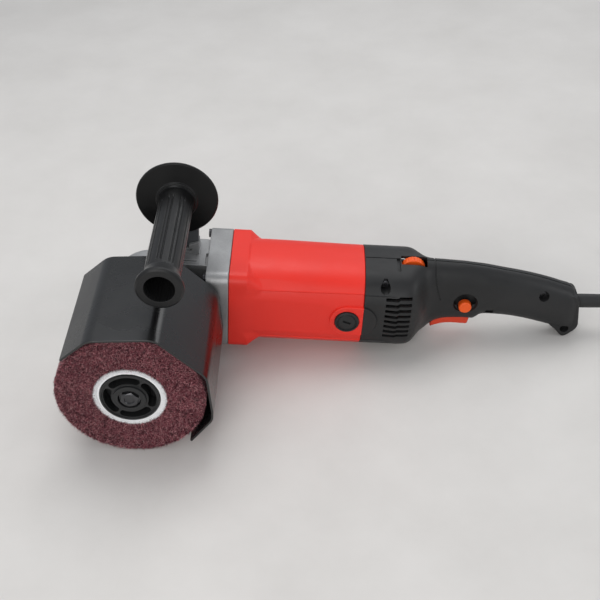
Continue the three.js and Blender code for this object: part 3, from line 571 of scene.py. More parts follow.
def coil_turns():
    """Three turns in, a climb at the narrowest place, and three turns out, ending on the far side."""
    wind_in = (COIL["wide"] - COIL["tight"]) / COIL["pitch"]
    climbed = wind_in + 0.92
    wound_out = climbed + wind_in
    ends = wind_in * 2 + 1.5
    steps = round(ends * 24)
    spots = []
    for i in range(steps + 1):
        turn = ends * i / steps
        radius = max(COIL["tight"], COIL["wide"] - COIL["pitch"] * turn)
        if turn > climbed:
            radius = min(COIL["wide"], COIL["tight"] + COIL["pitch"] * (turn - climbed))
        if turn > wound_out:
            radius = COIL["wide"]
        share = min(1.0, max(0.0, (turn - climbed + 0.22) / 0.22))
        rise = share * share * (3 - 2 * share)
        z = COIL["low"] + (COIL["high"] - COIL["low"]) * rise
        angle = 2 * math.pi * turn - math.pi / 2
        spots.append((COIL["x"] + radius * math.cos(angle), COIL["y"] + radius * math.sin(angle), z))
    return spots


def make_cord(plug):
    lead = [(x, OUTLET_Y, z) for x, z in CORD_ROUTE]
    tail = [(x, TAIL_Y, z) for x, z in TAIL_ROUTE]
    points = lead + coil_turns() + tail
    curve = bpy.data.curves.new("cord_run", "CURVE")
    curve.dimensions = "3D"
    curve.bevel_depth = CORD_DIAMETER * MM / 2
    curve.bevel_resolution = 6
    curve.resolution_u = 8
    curve.use_fill_caps = True
    spline = curve.splines.new("BEZIER")
    spline.bezier_points.add(len(points) - 1)
    for knot, point in zip(spline.bezier_points, points):
        knot.co = point
        knot.handle_left_type = knot.handle_right_type = "AUTO"
    obj = added("cord_run", curve)
    curve.materials.append(MATERIALS["cord_rubber"])
    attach(obj, "tool_body")
    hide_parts("cord", "cord_tail", "cord_coil")


# Along the plug: place, half width, half height and how square the section is.
PLUG_STATIONS = [
    (0, 4.9, 4.9, 2), (-6, 5.1, 5.1, 2), (-18, 7.4, 5.4, 2.1), (-30, 9.4, 6.8, 2.3),
    (-40, 12.6, 8.9, 2.6), (-44, 13.0, 9.3, 2.8), (-50, 12.9, 9.3, 2.9), (-51.4, 12.2, 8.6, 2.9),
    (-52, 11, 7.4, 2.9),
]
PLUG_PLACE = (0.3216, TAIL_Y, 0.0094)
PIN_SPREAD = 9.5


def make_plug():
    """A moulded two-pin plug: oval body with grip ridges, running into its own cord sleeve."""
    rings = []
    steps = 90
    for i in range(steps + 1):
        x = -0.3 + (-52 + 0.3) * i / steps
        wide, tall, power = (profile_at(PLUG_STATIONS, x, column) for column in (1, 2, 3))
        ridge = 0.28 * max(0.0, math.sin(x * 2.1)) if -40 < x < -24 else 0
        groove = -0.5 if -16 < x < -3 and math.sin(x * 1.7) > 0.4 else 0
        ring = []
        for j in range(64):
            angle = 2 * math.pi * j / 64
            ring.append((x, (wide + ridge + groove) * signed_power(math.cos(angle), 2 / power),
                         (tall + ridge + groove) * signed_power(math.sin(angle), 2 / power)))
        rings.append(ring)
    body = skin("plug_body", rings)
    centres = [(-PIN_SPREAD, 0), (PIN_SPREAD, 0)]
    pins = [rod("pin", "x", 2, -71, -51, centre, 32, 0.9) for centre in centres]
    sleeves = [rod("sleeve", "x", 2.35, -62, -50, centre, 32, 0.3) for centre in centres]
    place = Matrix.Translation(Vector(PLUG_PLACE)) @ Matrix.Scale(MM, 4)
    shell = piece(join(body, *sleeves), "cord_rubber", ["plug"], place=place)
    blades = piece(gather("plug_pins", *pins), "steel", place=place)
    return [shell, blades]


def profile_at(table, x, column):
    """A smooth value at x from a column of a table, whose first column is x."""
    rows = sorted(table)
    if x <= rows[0][0]:
        return rows[0][column]
    for i in range(len(rows) - 1):
        low, high = rows[i], rows[i + 1]
        if x <= high[0]:
            span = high[0] - low[0]
            t = (x - low[0]) / span
            slopes = []
            for k in (i, i + 1):
                before, after = rows[max(k - 1, 0)], rows[min(k + 1, len(rows) - 1)]
                slope = (after[column] - before[column]) / max(after[0] - before[0], 1e-6)
                left = (rows[k][column] - rows[max(k - 1, 0)][column])
                right = (rows[min(k + 1, len(rows) - 1)][column] - rows[k][column])
                slopes.append(slope if left * right > 0 else 0.0)
            a, b = low[column], high[column]
            return (a * (1 + 2 * t) * (1 - t) ** 2 + slopes[0] * span * t * (1 - t) ** 2
                    + b * t * t * (3 - 2 * t) - slopes[1] * span * t * t * (1 - t))
    return rows[-1][column]


# ---- drum -----------------------------------------------------------------------------------
# Each group of fibres: how many, and its seed.
FIBRES = {"near": (26000, 21), "far": (12000, 22), "rim": (26000, 23), "core_near": (4200, 41),
          "core_far": (2000, 42)}


def spikes(count, seed, place_one):
    """Closed four-sided fibres: place_one draws a root, a direction, a side, sizes and a tone."""
    draw = random.Random(seed)
    points, faces, tones = [], [], []
    for _ in range(count):
        root, lean, side, length, width, tone = place_one(draw)
        lean = lean.normalized()
        side = (side - lean * side.dot(lean)).normalized()
        third = lean.cross(side)
        base = len(points)
        points += [root + side * width, root - side * width * 0.6 + third * width * 0.8,
                   root - side * width * 0.6 - third * width * 0.8,
                   root + lean * length]
        faces += [(base, base + 1, base + 2), (base, base + 3, base + 1),
                  (base + 1, base + 3, base + 2), (base + 2, base + 3, base)]
        # every fibre is darker at its root and lighter at its tip: painted shade at the root and painted highlight
        # at the tip
        tones += [tone * 0.75] * 3 + [min(1.0, tone * 1.2)]
    return points, faces, tones


def rough_annulus(name, inner, outer, near, far, depth, seed, cell):
    """A ring whose faces and rim are broken up into lumps of fibre."""
    draw = random.Random(seed)
    sides = round(2 * math.pi * outer / cell)
    across_face = round((outer - inner) / cell)
    along_rim = round((far - near) / cell)
    line = [(inner + (outer - inner) * i / across_face, near) for i in range(across_face)]
    line += [(outer, near + (far - near) * i / along_rim) for i in range(along_rim)]
    line += [(outer - (outer - inner) * i / across_face, far) for i in range(across_face + 1)]
    rings, tones = [], []
    for radius, along in line:
        ring = []
        for j in range(sides):
            angle = 2 * math.pi * (j + draw.uniform(-0.4, 0.4)) / sides
            sink = depth * draw.random() ** 1.5
            edge = radius > inner + 0.1
            reach = radius - (sink if edge and radius > outer - 0.1 else 0)
            push = sink if along < near + 0.1 else (-sink if along > far - 0.1 else 0)
            ring.append((reach * math.cos(angle), along + push, reach * math.sin(angle)))
            # each point's tone is random and darker the deeper the point sinks: painted shade in the hollows of
            # the mat
            tones.append(0.15 + 0.75 * (1 - sink / depth) * draw.random())
        rings.append(ring)
    points = [point for ring in rings for point in ring]
    return loose_object(name, points, band_faces(len(rings), sides, True)), tones


def spoke(draw):
    """A random direction out from the spindle, and the direction round the drum there."""
    angle = draw.uniform(0, 2 * math.pi)
    out = Vector((math.cos(angle), 0, math.sin(angle)))
    return out, out.cross(Vector((0, 1, 0)))


def merged_fibres(name, base, base_tones, *groups):
    """One object from a rough base and its spikes, with every point's tone kept."""
    points = [vertex.co.copy() for vertex in base.data.vertices]
    faces = [tuple(polygon.vertices) for polygon in base.data.polygons]
    tones = list(base_tones)
    for group_points, group_faces, group_tones in groups:
        offset = len(points)
        points += group_points
        faces += [tuple(index + offset for index in face) for face in group_faces]
        tones += group_tones
    remove(base)
    obj = loose_object(name, points, faces)
    attribute = obj.data.attributes.new("strand", "FLOAT", "POINT")
    attribute.data.foreach_set("value", tones)
    return obj


def make_abrasive():
    inner, outer = DRUM["core"] + 0.3, DRUM["radius"] + 1.2
    near, far = DRUM["near"], DRUM["far"]
    base, tones = rough_annulus("abrasive_flaps", inner, outer - 0.8, near + 0.9,
                                far - 0.9, 1.2, 11, 1.1)

    def on_face(draw, side):
        radius = math.sqrt(draw.uniform(inner ** 2, (outer - 1.2) ** 2))
        out, along = spoke(draw)
        lean = (out * draw.gauss(0, 0.75) + along * draw.gauss(0, 0.75)
                + Vector((0, side * draw.uniform(0.1, 0.5), 0)))
        root = out * radius + Vector((0, (near + 1.3) if side < 0 else (far - 1.3), 0))
        return (root, lean, along, draw.uniform(2.2, 4.6), draw.uniform(0.17, 0.32),
                draw.random() ** 1.1)

    def on_rim(draw):
        out, along = spoke(draw)
        lean = (out * draw.uniform(0.25, 0.9) + along * draw.gauss(0, 0.7)
                + Vector((0, draw.gauss(0, 0.5), 0)))
        root = out * (outer - 1.5) + Vector((0, draw.uniform(near + 0.8, far - 0.8), 0))
        return (root, lean, along, draw.uniform(1.0, 2.6), draw.uniform(0.13, 0.27),
                draw.random() ** 0.9)

    groups = [spikes(*FIBRES["near"], lambda draw: on_face(draw, -1)),
              spikes(*FIBRES["far"], lambda draw: on_face(draw, 1)),
              spikes(*FIBRES["rim"], on_rim)]
    obj = merged_fibres("abrasive_flaps", base, tones, *groups)
    for vertex in obj.data.vertices:
        reach = math.hypot(vertex.co.x, vertex.co.z)
        if reach > outer:
            vertex.co.x *= outer / reach
            vertex.co.z *= outer / reach
        vertex.co.z += max(0.0, 0.0002 - (TOOL @ vertex.co).z) / MM
    piece(obj, "abrasive", ["abrasive_drum"], "drum_assembly", 60, weighted=False)


def make_core():
    outer, hub = DRUM["core"], DRUM["hub"]
    near, far = DRUM["near"], DRUM["far"]
    base, tones = rough_annulus("core_felt", hub + 0.3, outer - 0.9, near + 0.2, far - 0.2, 0.4,
                                31, 0.6)

    def on_face(draw, side):
        radius = draw.uniform(hub + 1.4, outer - 0.4)
        out, along = spoke(draw)
        lean = out * draw.uniform(0.4, 1.4) + along * draw.gauss(0, 0.5) + Vector((0, side * 0.4, 0))
        root = out * radius + Vector((0, (near + 0.3) if side < 0 else (far - 0.3), 0))
        return (root, lean, along, draw.uniform(0.8, 2.3), draw.uniform(0.09, 0.2),
                draw.uniform(0.6, 1.0))

    groups = [spikes(*FIBRES["core_near"], lambda draw: on_face(draw, -1)),
              spikes(*FIBRES["core_far"], lambda draw: on_face(draw, 1))]
    obj = merged_fibres("core_felt", base, [0.5 + tone * 0.5 for tone in tones], *groups)
    piece(obj, "white_core", ["drum_core"], "drum_assembly", 60, weighted=False)


def kidney(inner, outer, middle, half, low, high):
    """A curved slot with round ends."""
    first, last = middle - half, middle + half
    centre, radius = (inner + outer) / 2, (outer - inner) / 2
    outline = arc((0, 0), outer, first, 2 * half, 16)
    outline += arc((centre * math.cos(last), centre * math.sin(last)), radius, last, math.pi, 8)[1:-1]
    outline += arc((0, 0), inner, last, -2 * half, 16)
    outline += arc((centre * math.cos(first), centre * math.sin(first)), radius, first + math.pi,
                   math.pi, 8)[1:-1]
    return prism("kidney", "y", outline, low, high, 0)


def make_hub():
    near_cap = revolve("hub_near", "y", [
        (4.6, -100.5), (9.2, -100.5), (9.2, -106.8), (13.3, -106.8), (13.3, -104.4), (22.2, -104.4),
        (22.2, -105.6), (24.0, -105.6), (24.0, -90), (4.6, -90)], soft=0.5)
    slots = [kidney(15.0, 21.3, 0.25 + i * math.pi / 2, 0.57, -106, -92) for i in range(4)]
    piece(cut(near_cap, gather("slots", *slots)), "hub_plastic", ["hub_cap_near"], "drum_assembly")
    far_cap = revolve("hub_far", "y", [(9.8, -12), (24.0, -12), (24.0, -4), (9.8, -4)], soft=0.5)
    slots = [kidney(14.5, 21, 0.25 + i * math.pi / 2, 0.46, -14, -2) for i in range(4)]
    way = block("way", (-2.8, 2.8), (-14, -2), (0, 11.9), 0, 0.2)
    piece(cut(far_cap, gather("slots", *slots), way), "hub_plastic", ["hub_cap_far"], "drum_assembly")

    head = prism("hub_bolt", "y", rounded(hexagon(7.8, turn=0.3), 0.3, 2), -107.9, -101.6, 0)
    cone = revolve("cone", "y", [(0, -107.6), (6.2, -107.6), (8.4, -106.2), (8.4, -101), (0, -101)],
                   sides=96, soft=0)
    head = keep(head, cone)
    dish = revolve("dish", "y", [(0, -108.2), (4.5, -108.2), (3.7, -106.7), (0, -106.7)], sides=64,
                   soft=0)
    collar = revolve("collar", "y", [(0, -104.2), (8.9, -104.2), (8.9, -100.8), (0, -100.8)], soft=0.3)
    stem = rod("stem", "y", 3.9, -101, -76, soft=0.6)
    piece(join(cut(head, dish), collar, stem), "black_oxide", ["drum_bolt"], "drum_assembly", 15)


# ---- guard ----------------------------------------------------------------------------------
def sheet_outline(points, thickness):
    """A closed outline of even thickness to the right of an open line."""
    inside = []
    for i, point in enumerate(points):
        before, after = points[max(i - 1, 0)], points[min(i + 1, len(points) - 1)]
        along = (Vector(after) - Vector(before)).normalized()
        inside.append((point[0] + thickness * along.y, point[1] - thickness * along.x))
    return list(points) + inside[::-1]


def make_guard():
    bent = rounded(GUARD_OUTLINE, GUARD["bend"], 6, closed=False)
    hood = prism("guard_sheet", "y", sheet_outline(bent, GUARD["sheet"]), GUARD["near"], -0.4, 0.35, 2)
    neck_side = arc((0, 0), 36, math.radians(-41), math.radians(-177), 24)
    wall = prism("wall", "y", bent + neck_side, -GUARD["sheet"], 0, 0)
    collar = revolve("collar", "y", [(24.5, -1), (26.6, -1), (26.6, 3.4), (24.5, 3.4)], soft=0.3)
    opening = rod("opening", "y", 25, -5, 5, sides=96)
    piece(cut(join(hood, wall, collar), opening), "guard_paint", ["guard_hood"], "guard")

    band = revolve("guard_band", "y", [(24.3, 4), (26.2, 4), (26.2, 12), (24.3, 12)], soft=0.3)
    ears = block("ears", (24.8, 38), (4, 12), (-4.5, 4.5), 0.5, 2)
    slit = block("slit", (22, 40), (3, 13), (-1.2, 1.2), 0, 0.1)
    hole = rod("hole", "z", 2.2, -9, 9, CLAMP["screw"])
    clamp = turned(cut(join(band, ears), slit, hole), "Y", CLAMP["turn"])
    piece(clamp, "dark_steel", ["guard_clamp_band"], "guard")
    screw = rod("guard_screw", "z", 3.4, 4.8, 8.2, CLAMP["screw"], soft=0.5)
    socket = prism("socket", "z", hexagon(1.8, CLAMP["screw"]), 6.4, 9, 0)
    stem = rod("stem", "z", 1.9, -7.5, 5, CLAMP["screw"], soft=0.4)
    screw = turned(join(cut(screw, socket), stem), "Y", CLAMP["turn"])
    piece(screw, "steel", ["guard_clamp_screw"], "guard")


# ---- auxiliary grip -------------------------------------------------------------------------
def grip_flutes(angle, along):
    """How far the handle's surface moves: pairs of fine grooves that run out at both ends."""
    start, end = GRIP["near"] + FLUTES["margin"], GRIP["far"] - FLUTES["margin"]
    if not start < along < end:
        return 0
    ends = min(1.0, min(along - start, end - along) / 5)
    place = (angle * FLUTES["count"] / (2 * math.pi)) % 1 - 0.5
    groove = max(0.0, 1 - abs(abs(place) - 0.16) / 0.075)
    return -FLUTES["depth"] * ends * min(1.0, groove * 1.6)


def make_grip():
    near, far, radius, disc = GRIP["near"], GRIP["far"], GRIP["radius"], GRIP["disc"]
    margin, levels = FLUTES["margin"], 44
    profile = [(12, near), (17.2, near), (19, near + 1.4), (19, near + 3.6), (17.2, near + 5.8),
               (radius + 0.9, near + 12), (radius, near + 16)]
    profile += [(radius, near + margin + (far - margin - near - margin) * i / levels)
                for i in range(levels + 1)]
    profile += [(radius + 0.2, far - 12), (radius + 0.7, far - 7.4), (16.0, far - 5.6),
                (16.5, far - 5.6), (17.3, far - 5.4), (17.9, far - 4.2), (disc - 0.8, far - 2.4),
                (disc, far - 1.5), (disc, far - 0.2), (disc - 0.8, far), (4.3, far), (4.3, 12),
                (12, 4)]
    handle = revolve("grip_handle", "y", profile, GRIP_AXIS, 216, 0.35, grip_flutes)
    piece(handle, "grip_rubber", ["side_grip"])

    stud = rod("grip_stud", "y", 4, 14, 53.4, GRIP_AXIS, soft=0.6)
    nut = prism("nut", "y", rounded(hexagon(7.5, GRIP_AXIS), 0.4, 2), 52.7, 58.4, 0.7)
    piece(join(stud, nut), "steel", ["side_grip_bolt"])


def make_grip_bracket():
    eye = arc(GRIP_AXIS, 16, -0.35, math.pi + 0.7, 14)
    outline = [(14, 41.8), (41.5, 41.8), (41.5, 78)] + eye + [(12, 70)]
    upright = prism("grip_arm", "y", outline, 46.4, 52.4, 0.7)
    foot = block("foot", (14, 41.5), (46.4, 60), (41.8, 45.5), 0.7, 1.5)
    web = prism("web", "x", [(51, 44), (57.5, 44), (51, 56)], 26.3, 29.7, 0.3)
    bore = rod("bore", "y", 4.3, 40, 60, GRIP_AXIS)
    holes = [rod("hole", "z", 1.9, 40, 50, (x, ARM_SCREWS["y"])) for x in ARM_SCREWS["xs"]]
    piece(cut(join(upright, foot, web), bore, *holes), "bracket_grey", ["grip_bracket"])


def socket_screw(name, node, axis, centre, top, sign, head, height, shank, length):
    """A cap screw with a hexagon socket. top is the outer end of its head."""
    ends = sorted((top, top - sign * height))
    shape = rod(name, axis, head, *ends, centre, 48, min(0.6, height / 4))
    depth = sorted((top + sign, top - sign * height * 0.55))
    socket = prism("socket", axis, hexagon(head * 0.52, centre, 0.2), *depth, 0)
    ends = sorted((top - sign * height * 0.8, top - sign * (height + length)))
    stem = rod("stem", axis, shank, *ends, centre, 24, 0.3)
    nodes = [node] if node else []
    return piece(join(cut(shape, socket), stem), "dark_steel", nodes)


# ---- gear case ------------------------------------------------------------------------------
CORNERS = [(-1, -1), (1, -1), (1, 1), (-1, 1)]
SCREW_SPREAD = 34


def rounded_square(half, corner, centre, steps):
    outline = []
    for i, (sx, sz) in enumerate([(1, 1), (-1, 1), (-1, -1), (1, -1)]):
        for k in range(steps + 1):
            angle = math.pi / 2 * (i + k / steps)
            outline.append((centre[0] + sx * (half - corner) + corner * math.cos(angle),
                            centre[1] + sz * (half - corner) + corner * math.sin(angle)))
    return outline


def make_gear_case():
    square = rounded_square(FLANGE["half"], FLANGE["corner"], (MOTOR_Y, BODY_Z), 10)
    flange = prism("gear_casting", "x", square, FLANGE["front"], FLANGE["back"], 0.9)
    nose = revolve("nose", "y", [(0, 23.5), (34, 23.5), (34, 50), (27, 60), (0, 60)], soft=3)
    trunk = block("trunk", (6, 52), (23.5, 66), (-33, 38), 1.6, 5)
    pad = block("pad", (14, 42), (44, 60), (36, 41.5), 0.6, 2)
    shelf = block("shelf", (15, 51), (22.8, 46), (35, 39.6), 0.5, 1.2)
    boss = rod("boss", "y", 17, 58, 65, soft=1.2, sides=96)
    lug_outline = [(33.4, 39), (42, 39), (42, 49.4), (33.4, 46.2)]
    lug = prism("lug", "y", lug_outline, 42.6, 46.25, 0.4)
    body = join(flange, nose, trunk, pad, shelf, boss, lug)
    pocket = block("pocket", (20.5, 42.4), (31.4, 42), (38.1, 42), 0, 1.8)
    dish = block("dish", (22, 40.8), (33, 41.6), (37.3, 42), 0, 1.5)
    line_wide = block("line", (15.8, 41.6), (28.2, 29.4), (38.6, 42), 0, 0.3)
    line_fine = block("line", (15.8, 41.6), (25.2, 25.7), (39.1, 42), 0, 0.1)
    ditch = block("ditch", (48.7, 50.45), (24.2, 41), (36.8, 42), 0, 0.5)
    step = block("step", (43.2, 43.7), (24.4, 45), (39.1, 42), 0, 0.1)
    pin_hole = rod("pin_hole", "y", 1.2, 40, 45, (34.9, 41.6), 20)
    gear_room = rod("gear_room", "y", 30.4, 20, 54, sides=96)
    fan_room = rod("fan_room", "x", 33, 66, 74, (MOTOR_Y, BODY_Z), 96)
    shaft_room = rod("shaft_room", "x", 13.3, 30, 68, (MOTOR_Y, 0), 64)
    dimple = rod("dimple", "y", 11, 64, 70, sides=64)
    body = cut(body, pocket, dish, line_wide, line_fine, ditch, step, pin_hole, gear_room, fan_room,
               shaft_room, dimple)
    piece(body, "cast_aluminium", ["gear_case"])


def make_case_screws():
    for i, (sy, sz) in enumerate(CORNERS):
        centre = (MOTOR_Y + sy * SCREW_SPREAD, BODY_Z + sz * SCREW_SPREAD)
        socket_screw(f"flange_screw_{i + 1}", f"gear_case_screw_{i + 1}", "x", centre, 48, -1, 3.9,
                     2.3, 2.4, 31)
    for i, x in enumerate(ARM_SCREWS["xs"]):
        socket_screw(f"arm_screw_{i + 1}", f"grip_bracket_screw_{i + 1}", "z", (x, ARM_SCREWS["y"]),
                     48.9, 1, 3, 3.1, 1.5, 8.6)


def make_bearing_box():
    box = revolve("neck_box", "y", [
        (15, 0.6), (24, 0.6), (24, 15), (35, 15), (35, 23.2), (30.1, 23.2), (30.1, 25), (21.3, 25),
        (21.3, 8), (15, 8)], soft=0.6)
    spots = [(sx * NECK_SPREAD, sz * NECK_SPREAD) for sx, sz in CORNERS]
    holes = [rod("hole", "y", 1.8, 10, 30, spot, 20) for spot in spots]
    piece(cut(box, gather("holes", *holes)), "cast_aluminium", ["bearing_box"])
    for i, spot in enumerate(spots):
        socket_screw(f"neck_screw_{i + 1}", None, "y", spot, 12.6, -1, 3.1, 2.4, 1.5, 13)


# ---- motor housing --------------------------------------------------------------------------
LEDGE = {"height": 25.6, "step": 0.4, "run": 0.5, "lip": 0.4, "round": 1.2, "side": 39.3}
FACET = {"reach": 44.58, "across": 0.758, "up": 0.652}
FLARE = {"start": 87.0, "slope": 1.05, "tail": 8.5, "side": 79.0}
LEDGE_ANGLE = math.atan2(LEDGE["height"], 37.4)
RIDGE_ANGLE = math.atan2(33.5, 30.0)


def section_angles(count):
    """Even angles, with more where a ridge or the ledge runs along the body."""
    angles = [2 * math.pi * i / count for i in range(count)]
    near_ledge = (-1.1, -0.7, -0.35, 0, 0.4, 0.8, 1.2, 1.6, 2.0)
    for turn in (1, -1):
        for centre, steps in ((LEDGE_ANGLE, near_ledge), (RIDGE_ANGLE, (-0.35, 0.35))):
            for step in steps:
                angle = (centre + math.radians(step)) * turn
                angles += [angle % (2 * math.pi), (math.pi - angle) % (2 * math.pi)]
    return sorted(angles)


ANGLES = section_angles(150)


def oval(angle, wide, tall, power):
    """How far a rounded box reaches at an angle; a power of 2 is an ellipse."""
    cosine, sine = abs(math.cos(angle)), abs(math.sin(angle))
    return ((cosine / wide) ** power + (sine / tall) ** power) ** (-1 / power)


def square_reach(angle):
    """How far the flange's rounded square reaches at an angle."""
    cosine, sine = abs(math.cos(angle)), abs(math.sin(angle))
    half, corner = FLANGE["half"], FLANGE["corner"]
    flat = half - corner
    if half * sine <= flat * cosine:
        return half / cosine
    if half * cosine <= flat * sine:
        return half / sine
    centre = flat * (cosine + sine)
    return centre + math.sqrt(centre * centre - 2 * flat * flat + corner * corner)


def smooth(value, low, high):
    """Rises from 0 to 1 between low and high, level at both ends."""
    t = min(1.0, max(0.0, (value - low) / (high - low)))
    return t * t * (3 - 2 * t)


def with_ledge(angle, reach, share):
    """Flattens the four shoulders into facets and lets the sides in by one step under them."""
    cosine, sine = abs(math.cos(angle)), abs(math.sin(angle))
    facet = FACET["reach"] / (FACET["across"] * cosine + FACET["up"] * sine)
    reach += (min(reach, facet) - reach) * share
    over = abs(reach * math.sin(angle)) - LEDGE["height"]
    if 0 < over < LEDGE["round"]:
        reach += LEDGE["lip"] * (1 - over / LEDGE["round"]) ** 2 * share
    below = 1 - smooth(over, -LEDGE["run"], 0)
    inner = min(reach - LEDGE["step"], LEDGE["side"] / max(cosine, 1e-3))
    return reach + (inner - reach) * below * share


def housing_reach(x, angle):
    """Square at the gear case, then a flare that is short at the corners, then the body."""
    body = oval(angle, BODY["half"], BODY["height"], BODY["power"])
    if math.sin(angle) > 0:
        body *= 1 - 0.022 * smooth(x, 100, 190)
    body = with_ledge(angle, body, 1)
    square = square_reach(angle)
    off_ledge = min(abs(abs(math.sin(angle)) - math.sin(LEDGE_ANGLE)), 1) / 0.1
    length = max(1.8, FLARE["slope"] * (square - body)) + FLARE["tail"] * math.exp(-off_ledge ** 2)
    start = FLARE["start"] - 0.8 * math.sin(angle)
    on_side = 1 - smooth(abs(math.sin(angle)), 0.42, 0.56)
    start += (FLARE["side"] - start) * on_side
    length += (15 - length) * on_side
    share = min(1.0, max(0.0, (x - start) / length))
    return square + (body - square) * share


def beside(side, near, far):
    """The low and the high end of a stretch on one side of the motor's axis."""
    return sorted((MOTOR_Y + side * near, MOTOR_Y + side * far))


def brush_pad(side, front, back):
    """The raised pad round a brush cap, between two places along the body."""
    outline = arc((BRUSH_X, 0), BRUSH_PAD["radius"], math.pi / 2, math.pi, 24)
    outline += arc((BRUSH_PAD["back"], 0), BRUSH_PAD["radius"], -math.pi / 2, math.pi, 24)
    pad = prism("pad", "y", outline, *beside(side, 34, BODY["half"]), 1.0, 4)
    return keep(pad, block("clip", (front, back), (-10, 100), (-30, 30), 0, 0.1))


def make_motor_housing():
    xs = [BODY["front"], BODY["front"] + 0.5, 76, 79, 82] + [84.5 + 0.5 * i for i in range(32)]
    xs += [101.5, 104, 112, 120, 130, 140, 150, 160, 170, 180, 188.5, BODY["back"]]
    rings = []
    for x in xs:
        trim = 0.55 if x in (BODY["front"], BODY["back"]) else 0
        rings.append([(x, MOTOR_Y + (housing_reach(x, a) - trim) * math.cos(a),
                       BODY_Z + (housing_reach(x, a) - trim) * math.sin(a)) for a in ANGLES])
    shell = skin("motor_barrel", rings)
    pads = [brush_pad(side, 150, BODY["back"]) for side in (-1, 1)]
    bore = rod("bore", "x", BORE, 60, 200, (MOTOR_Y, 0), 120)
    seats = []
    for side in (-1, 1):
        seats.append(rod("seat", "y", 9.6, *beside(side, 30, 40.2), (BRUSH_X, 0)))
        seats.append(rod("seat", "y", 11.3, *beside(side, 40.1, 50), (BRUSH_X, 0), 72))
    body = cut(join(shell, *pads), bore, *seats)
    piece(body, "red_plastic", ["motor_housing"], crease=FINE_CREASE)

    for name, side in (("near", -1), ("far", 1)):
        cap = revolve("brush_cap", "y", [
            (0, 38.3), (6, 38.3), (6, 40.4), (10.7, 40.4), (10.7, 42.3), (10.1, 42.9), (9.1, 42.9),
            (8.8, 41.7), (7.9, 41.7), (7.5, 42.3), (0, 42.4)], soft=0.2, sides=96)
        slot = block("slot", (-3.6, 3.6), (40.9, 44), (-1.1, 1.1), 0, 0.8)
        cap = turned(cut(cap, slot), "Y", 20 * side)
        if side < 0:
            turned(cap, "Z", 180)
        shifted(cap, (BRUSH_X, MOTOR_Y, 0))
        cap.name = f"brush_lid_{name}"
        piece(cap, "black_plastic", [f"brush_cap_{name}"])


# ---- rear housing and handle ----------------------------------------------------------------
# Along the shells: place, top, bottom, half width and how square the section is.
SHELL_STATIONS = [
    (189.5, 41.4, -39.9, 41.2, 2.7), (222, 41.5, -39.9, 41.2, 2.7), (230, 41.6, -39.7, 40.3, 2.7),
    (235, 41.7, -39.2, 37.4, 2.55), (240, 41.7, -37.9, 31.6, 2.2), (244.5, 41.7, -35.8, 25.0, 1.98),
    (249, 41.6, -32.6, 20.0, 2.0), (256, 41.4, -25.0, 16.9, 2.15), (264, 41.0, -20.6, 16.2, 2.2),
    (278, 40.4, -18.8, 15.9, 2.2), (286, 39.7, -18.6, 15.8, 2.2), (292, 39.1, -18.8, 15.8, 2.2),
    (299, 38.2, -13.0, 15.6, 2.2), (314, 35.7, -12.2, 15.3, 2.2), (335, 32.2, -14.1, 15.2, 2.25),
    (355, 27.6, -18.4, 15.2, 2.3), (370, 23, -22, 15, 2.4), (379, 19.9, -24, 14.4, 2.5),
    (383.5, 15.4, -24, 13, 2.5),
]
TAIL_OUTLINE = [(362, 10), (381, 17.2), (385.6, 12.5), (387.4, 2), (389.2, -9), (390.4, -17),
                (388.6, -21.6), (382.2, -28.4), (378, -30.5), (374.4, -27.6), (370.6, -23), (362, -16)]
# Each is at X and Z, then radius and reach, radius and depth, or reach only.
SCREW_POSTS = [(207, 33.2, 7.3, 36), (352, 17.0, 5.9, 14)]
SCREW_HOLES = [(207, 31.9, 4.4, 20), (352, 17.0, 4.7, 36)]
SHELL_SCREWS = [(207, 32.6, 30), (352, 16.6, 12.5)]
SHELL = {"start": 189.5, "end": 384, "wall": 2.6, "gap": 0.14}
VENTS = {"rows": 8, "top": 23.4, "pitch": 5.57, "height": 3.0, "front": 208.1, "middle": 219.8,
         "back": 231.0, "drop": 1.3}


def shell_rings(inset_by, first, last, step):
    rings = []
    count = round((last - first) / step)
    for i in range(count + 1):
        x = first + (last - first) * i / count
        at = min(max(x, SHELL_STATIONS[0][0]), SHELL_STATIONS[-1][0])
        top, bottom, wide, power = (profile_at(SHELL_STATIONS, at, k) for k in (1, 2, 3, 4))
        centre, tall = (top + bottom) / 2, (top - bottom) / 2
        ring = []
        for angle in ANGLES:
            reach = oval(angle, wide - inset_by, tall - inset_by, power)
            if inset_by < 1:
                reach = with_ledge(angle, reach + inset_by, 1 - smooth(x, 205, 219)) - inset_by
            ring.append((x, MOTOR_Y + reach * math.cos(angle), centre + reach * math.sin(angle)))
        rings.append(ring)
    return rings


def vent_cutters(side):
    """The cooling slots of one shell: each steps up once along its length."""
    front, middle, back, height = (VENTS[key] for key in ("front", "middle", "back", "height"))
    ends = (-5, 24) if side < 0 else (2 * MOTOR_Y - 24, 2 * MOTOR_Y + 5)
    cutters = []
    for row in range(VENTS["rows"]):
        high = VENTS["top"] - row * VENTS["pitch"]
        low = high - VENTS["drop"]
        outline = [(front, low), (middle - 0.7, low), (middle + 0.7, high), (back, high),
                   (back, high + height), (middle + 0.3, high + height),
                   (middle - 1.1, low + height), (front, low + height)]
        cutters.append(prism("vent", "y", rounded(outline, 0.5, 2), *ends, 0))
    return gather("vents", *cutters)


def shallow(cutter, depth):
    """Keeps a cutter to a shallow groove in the shells' outer skin."""
    return cut(cutter, skin("core", shell_rings(depth, 185, 392, 4)))


def sleeve_line(obj):
    turned(obj, "Y", -math.degrees(SLEEVE["rise"]))
    return shifted(obj, (SLEEVE["start"], MOTOR_Y, SLEEVE["z"]))


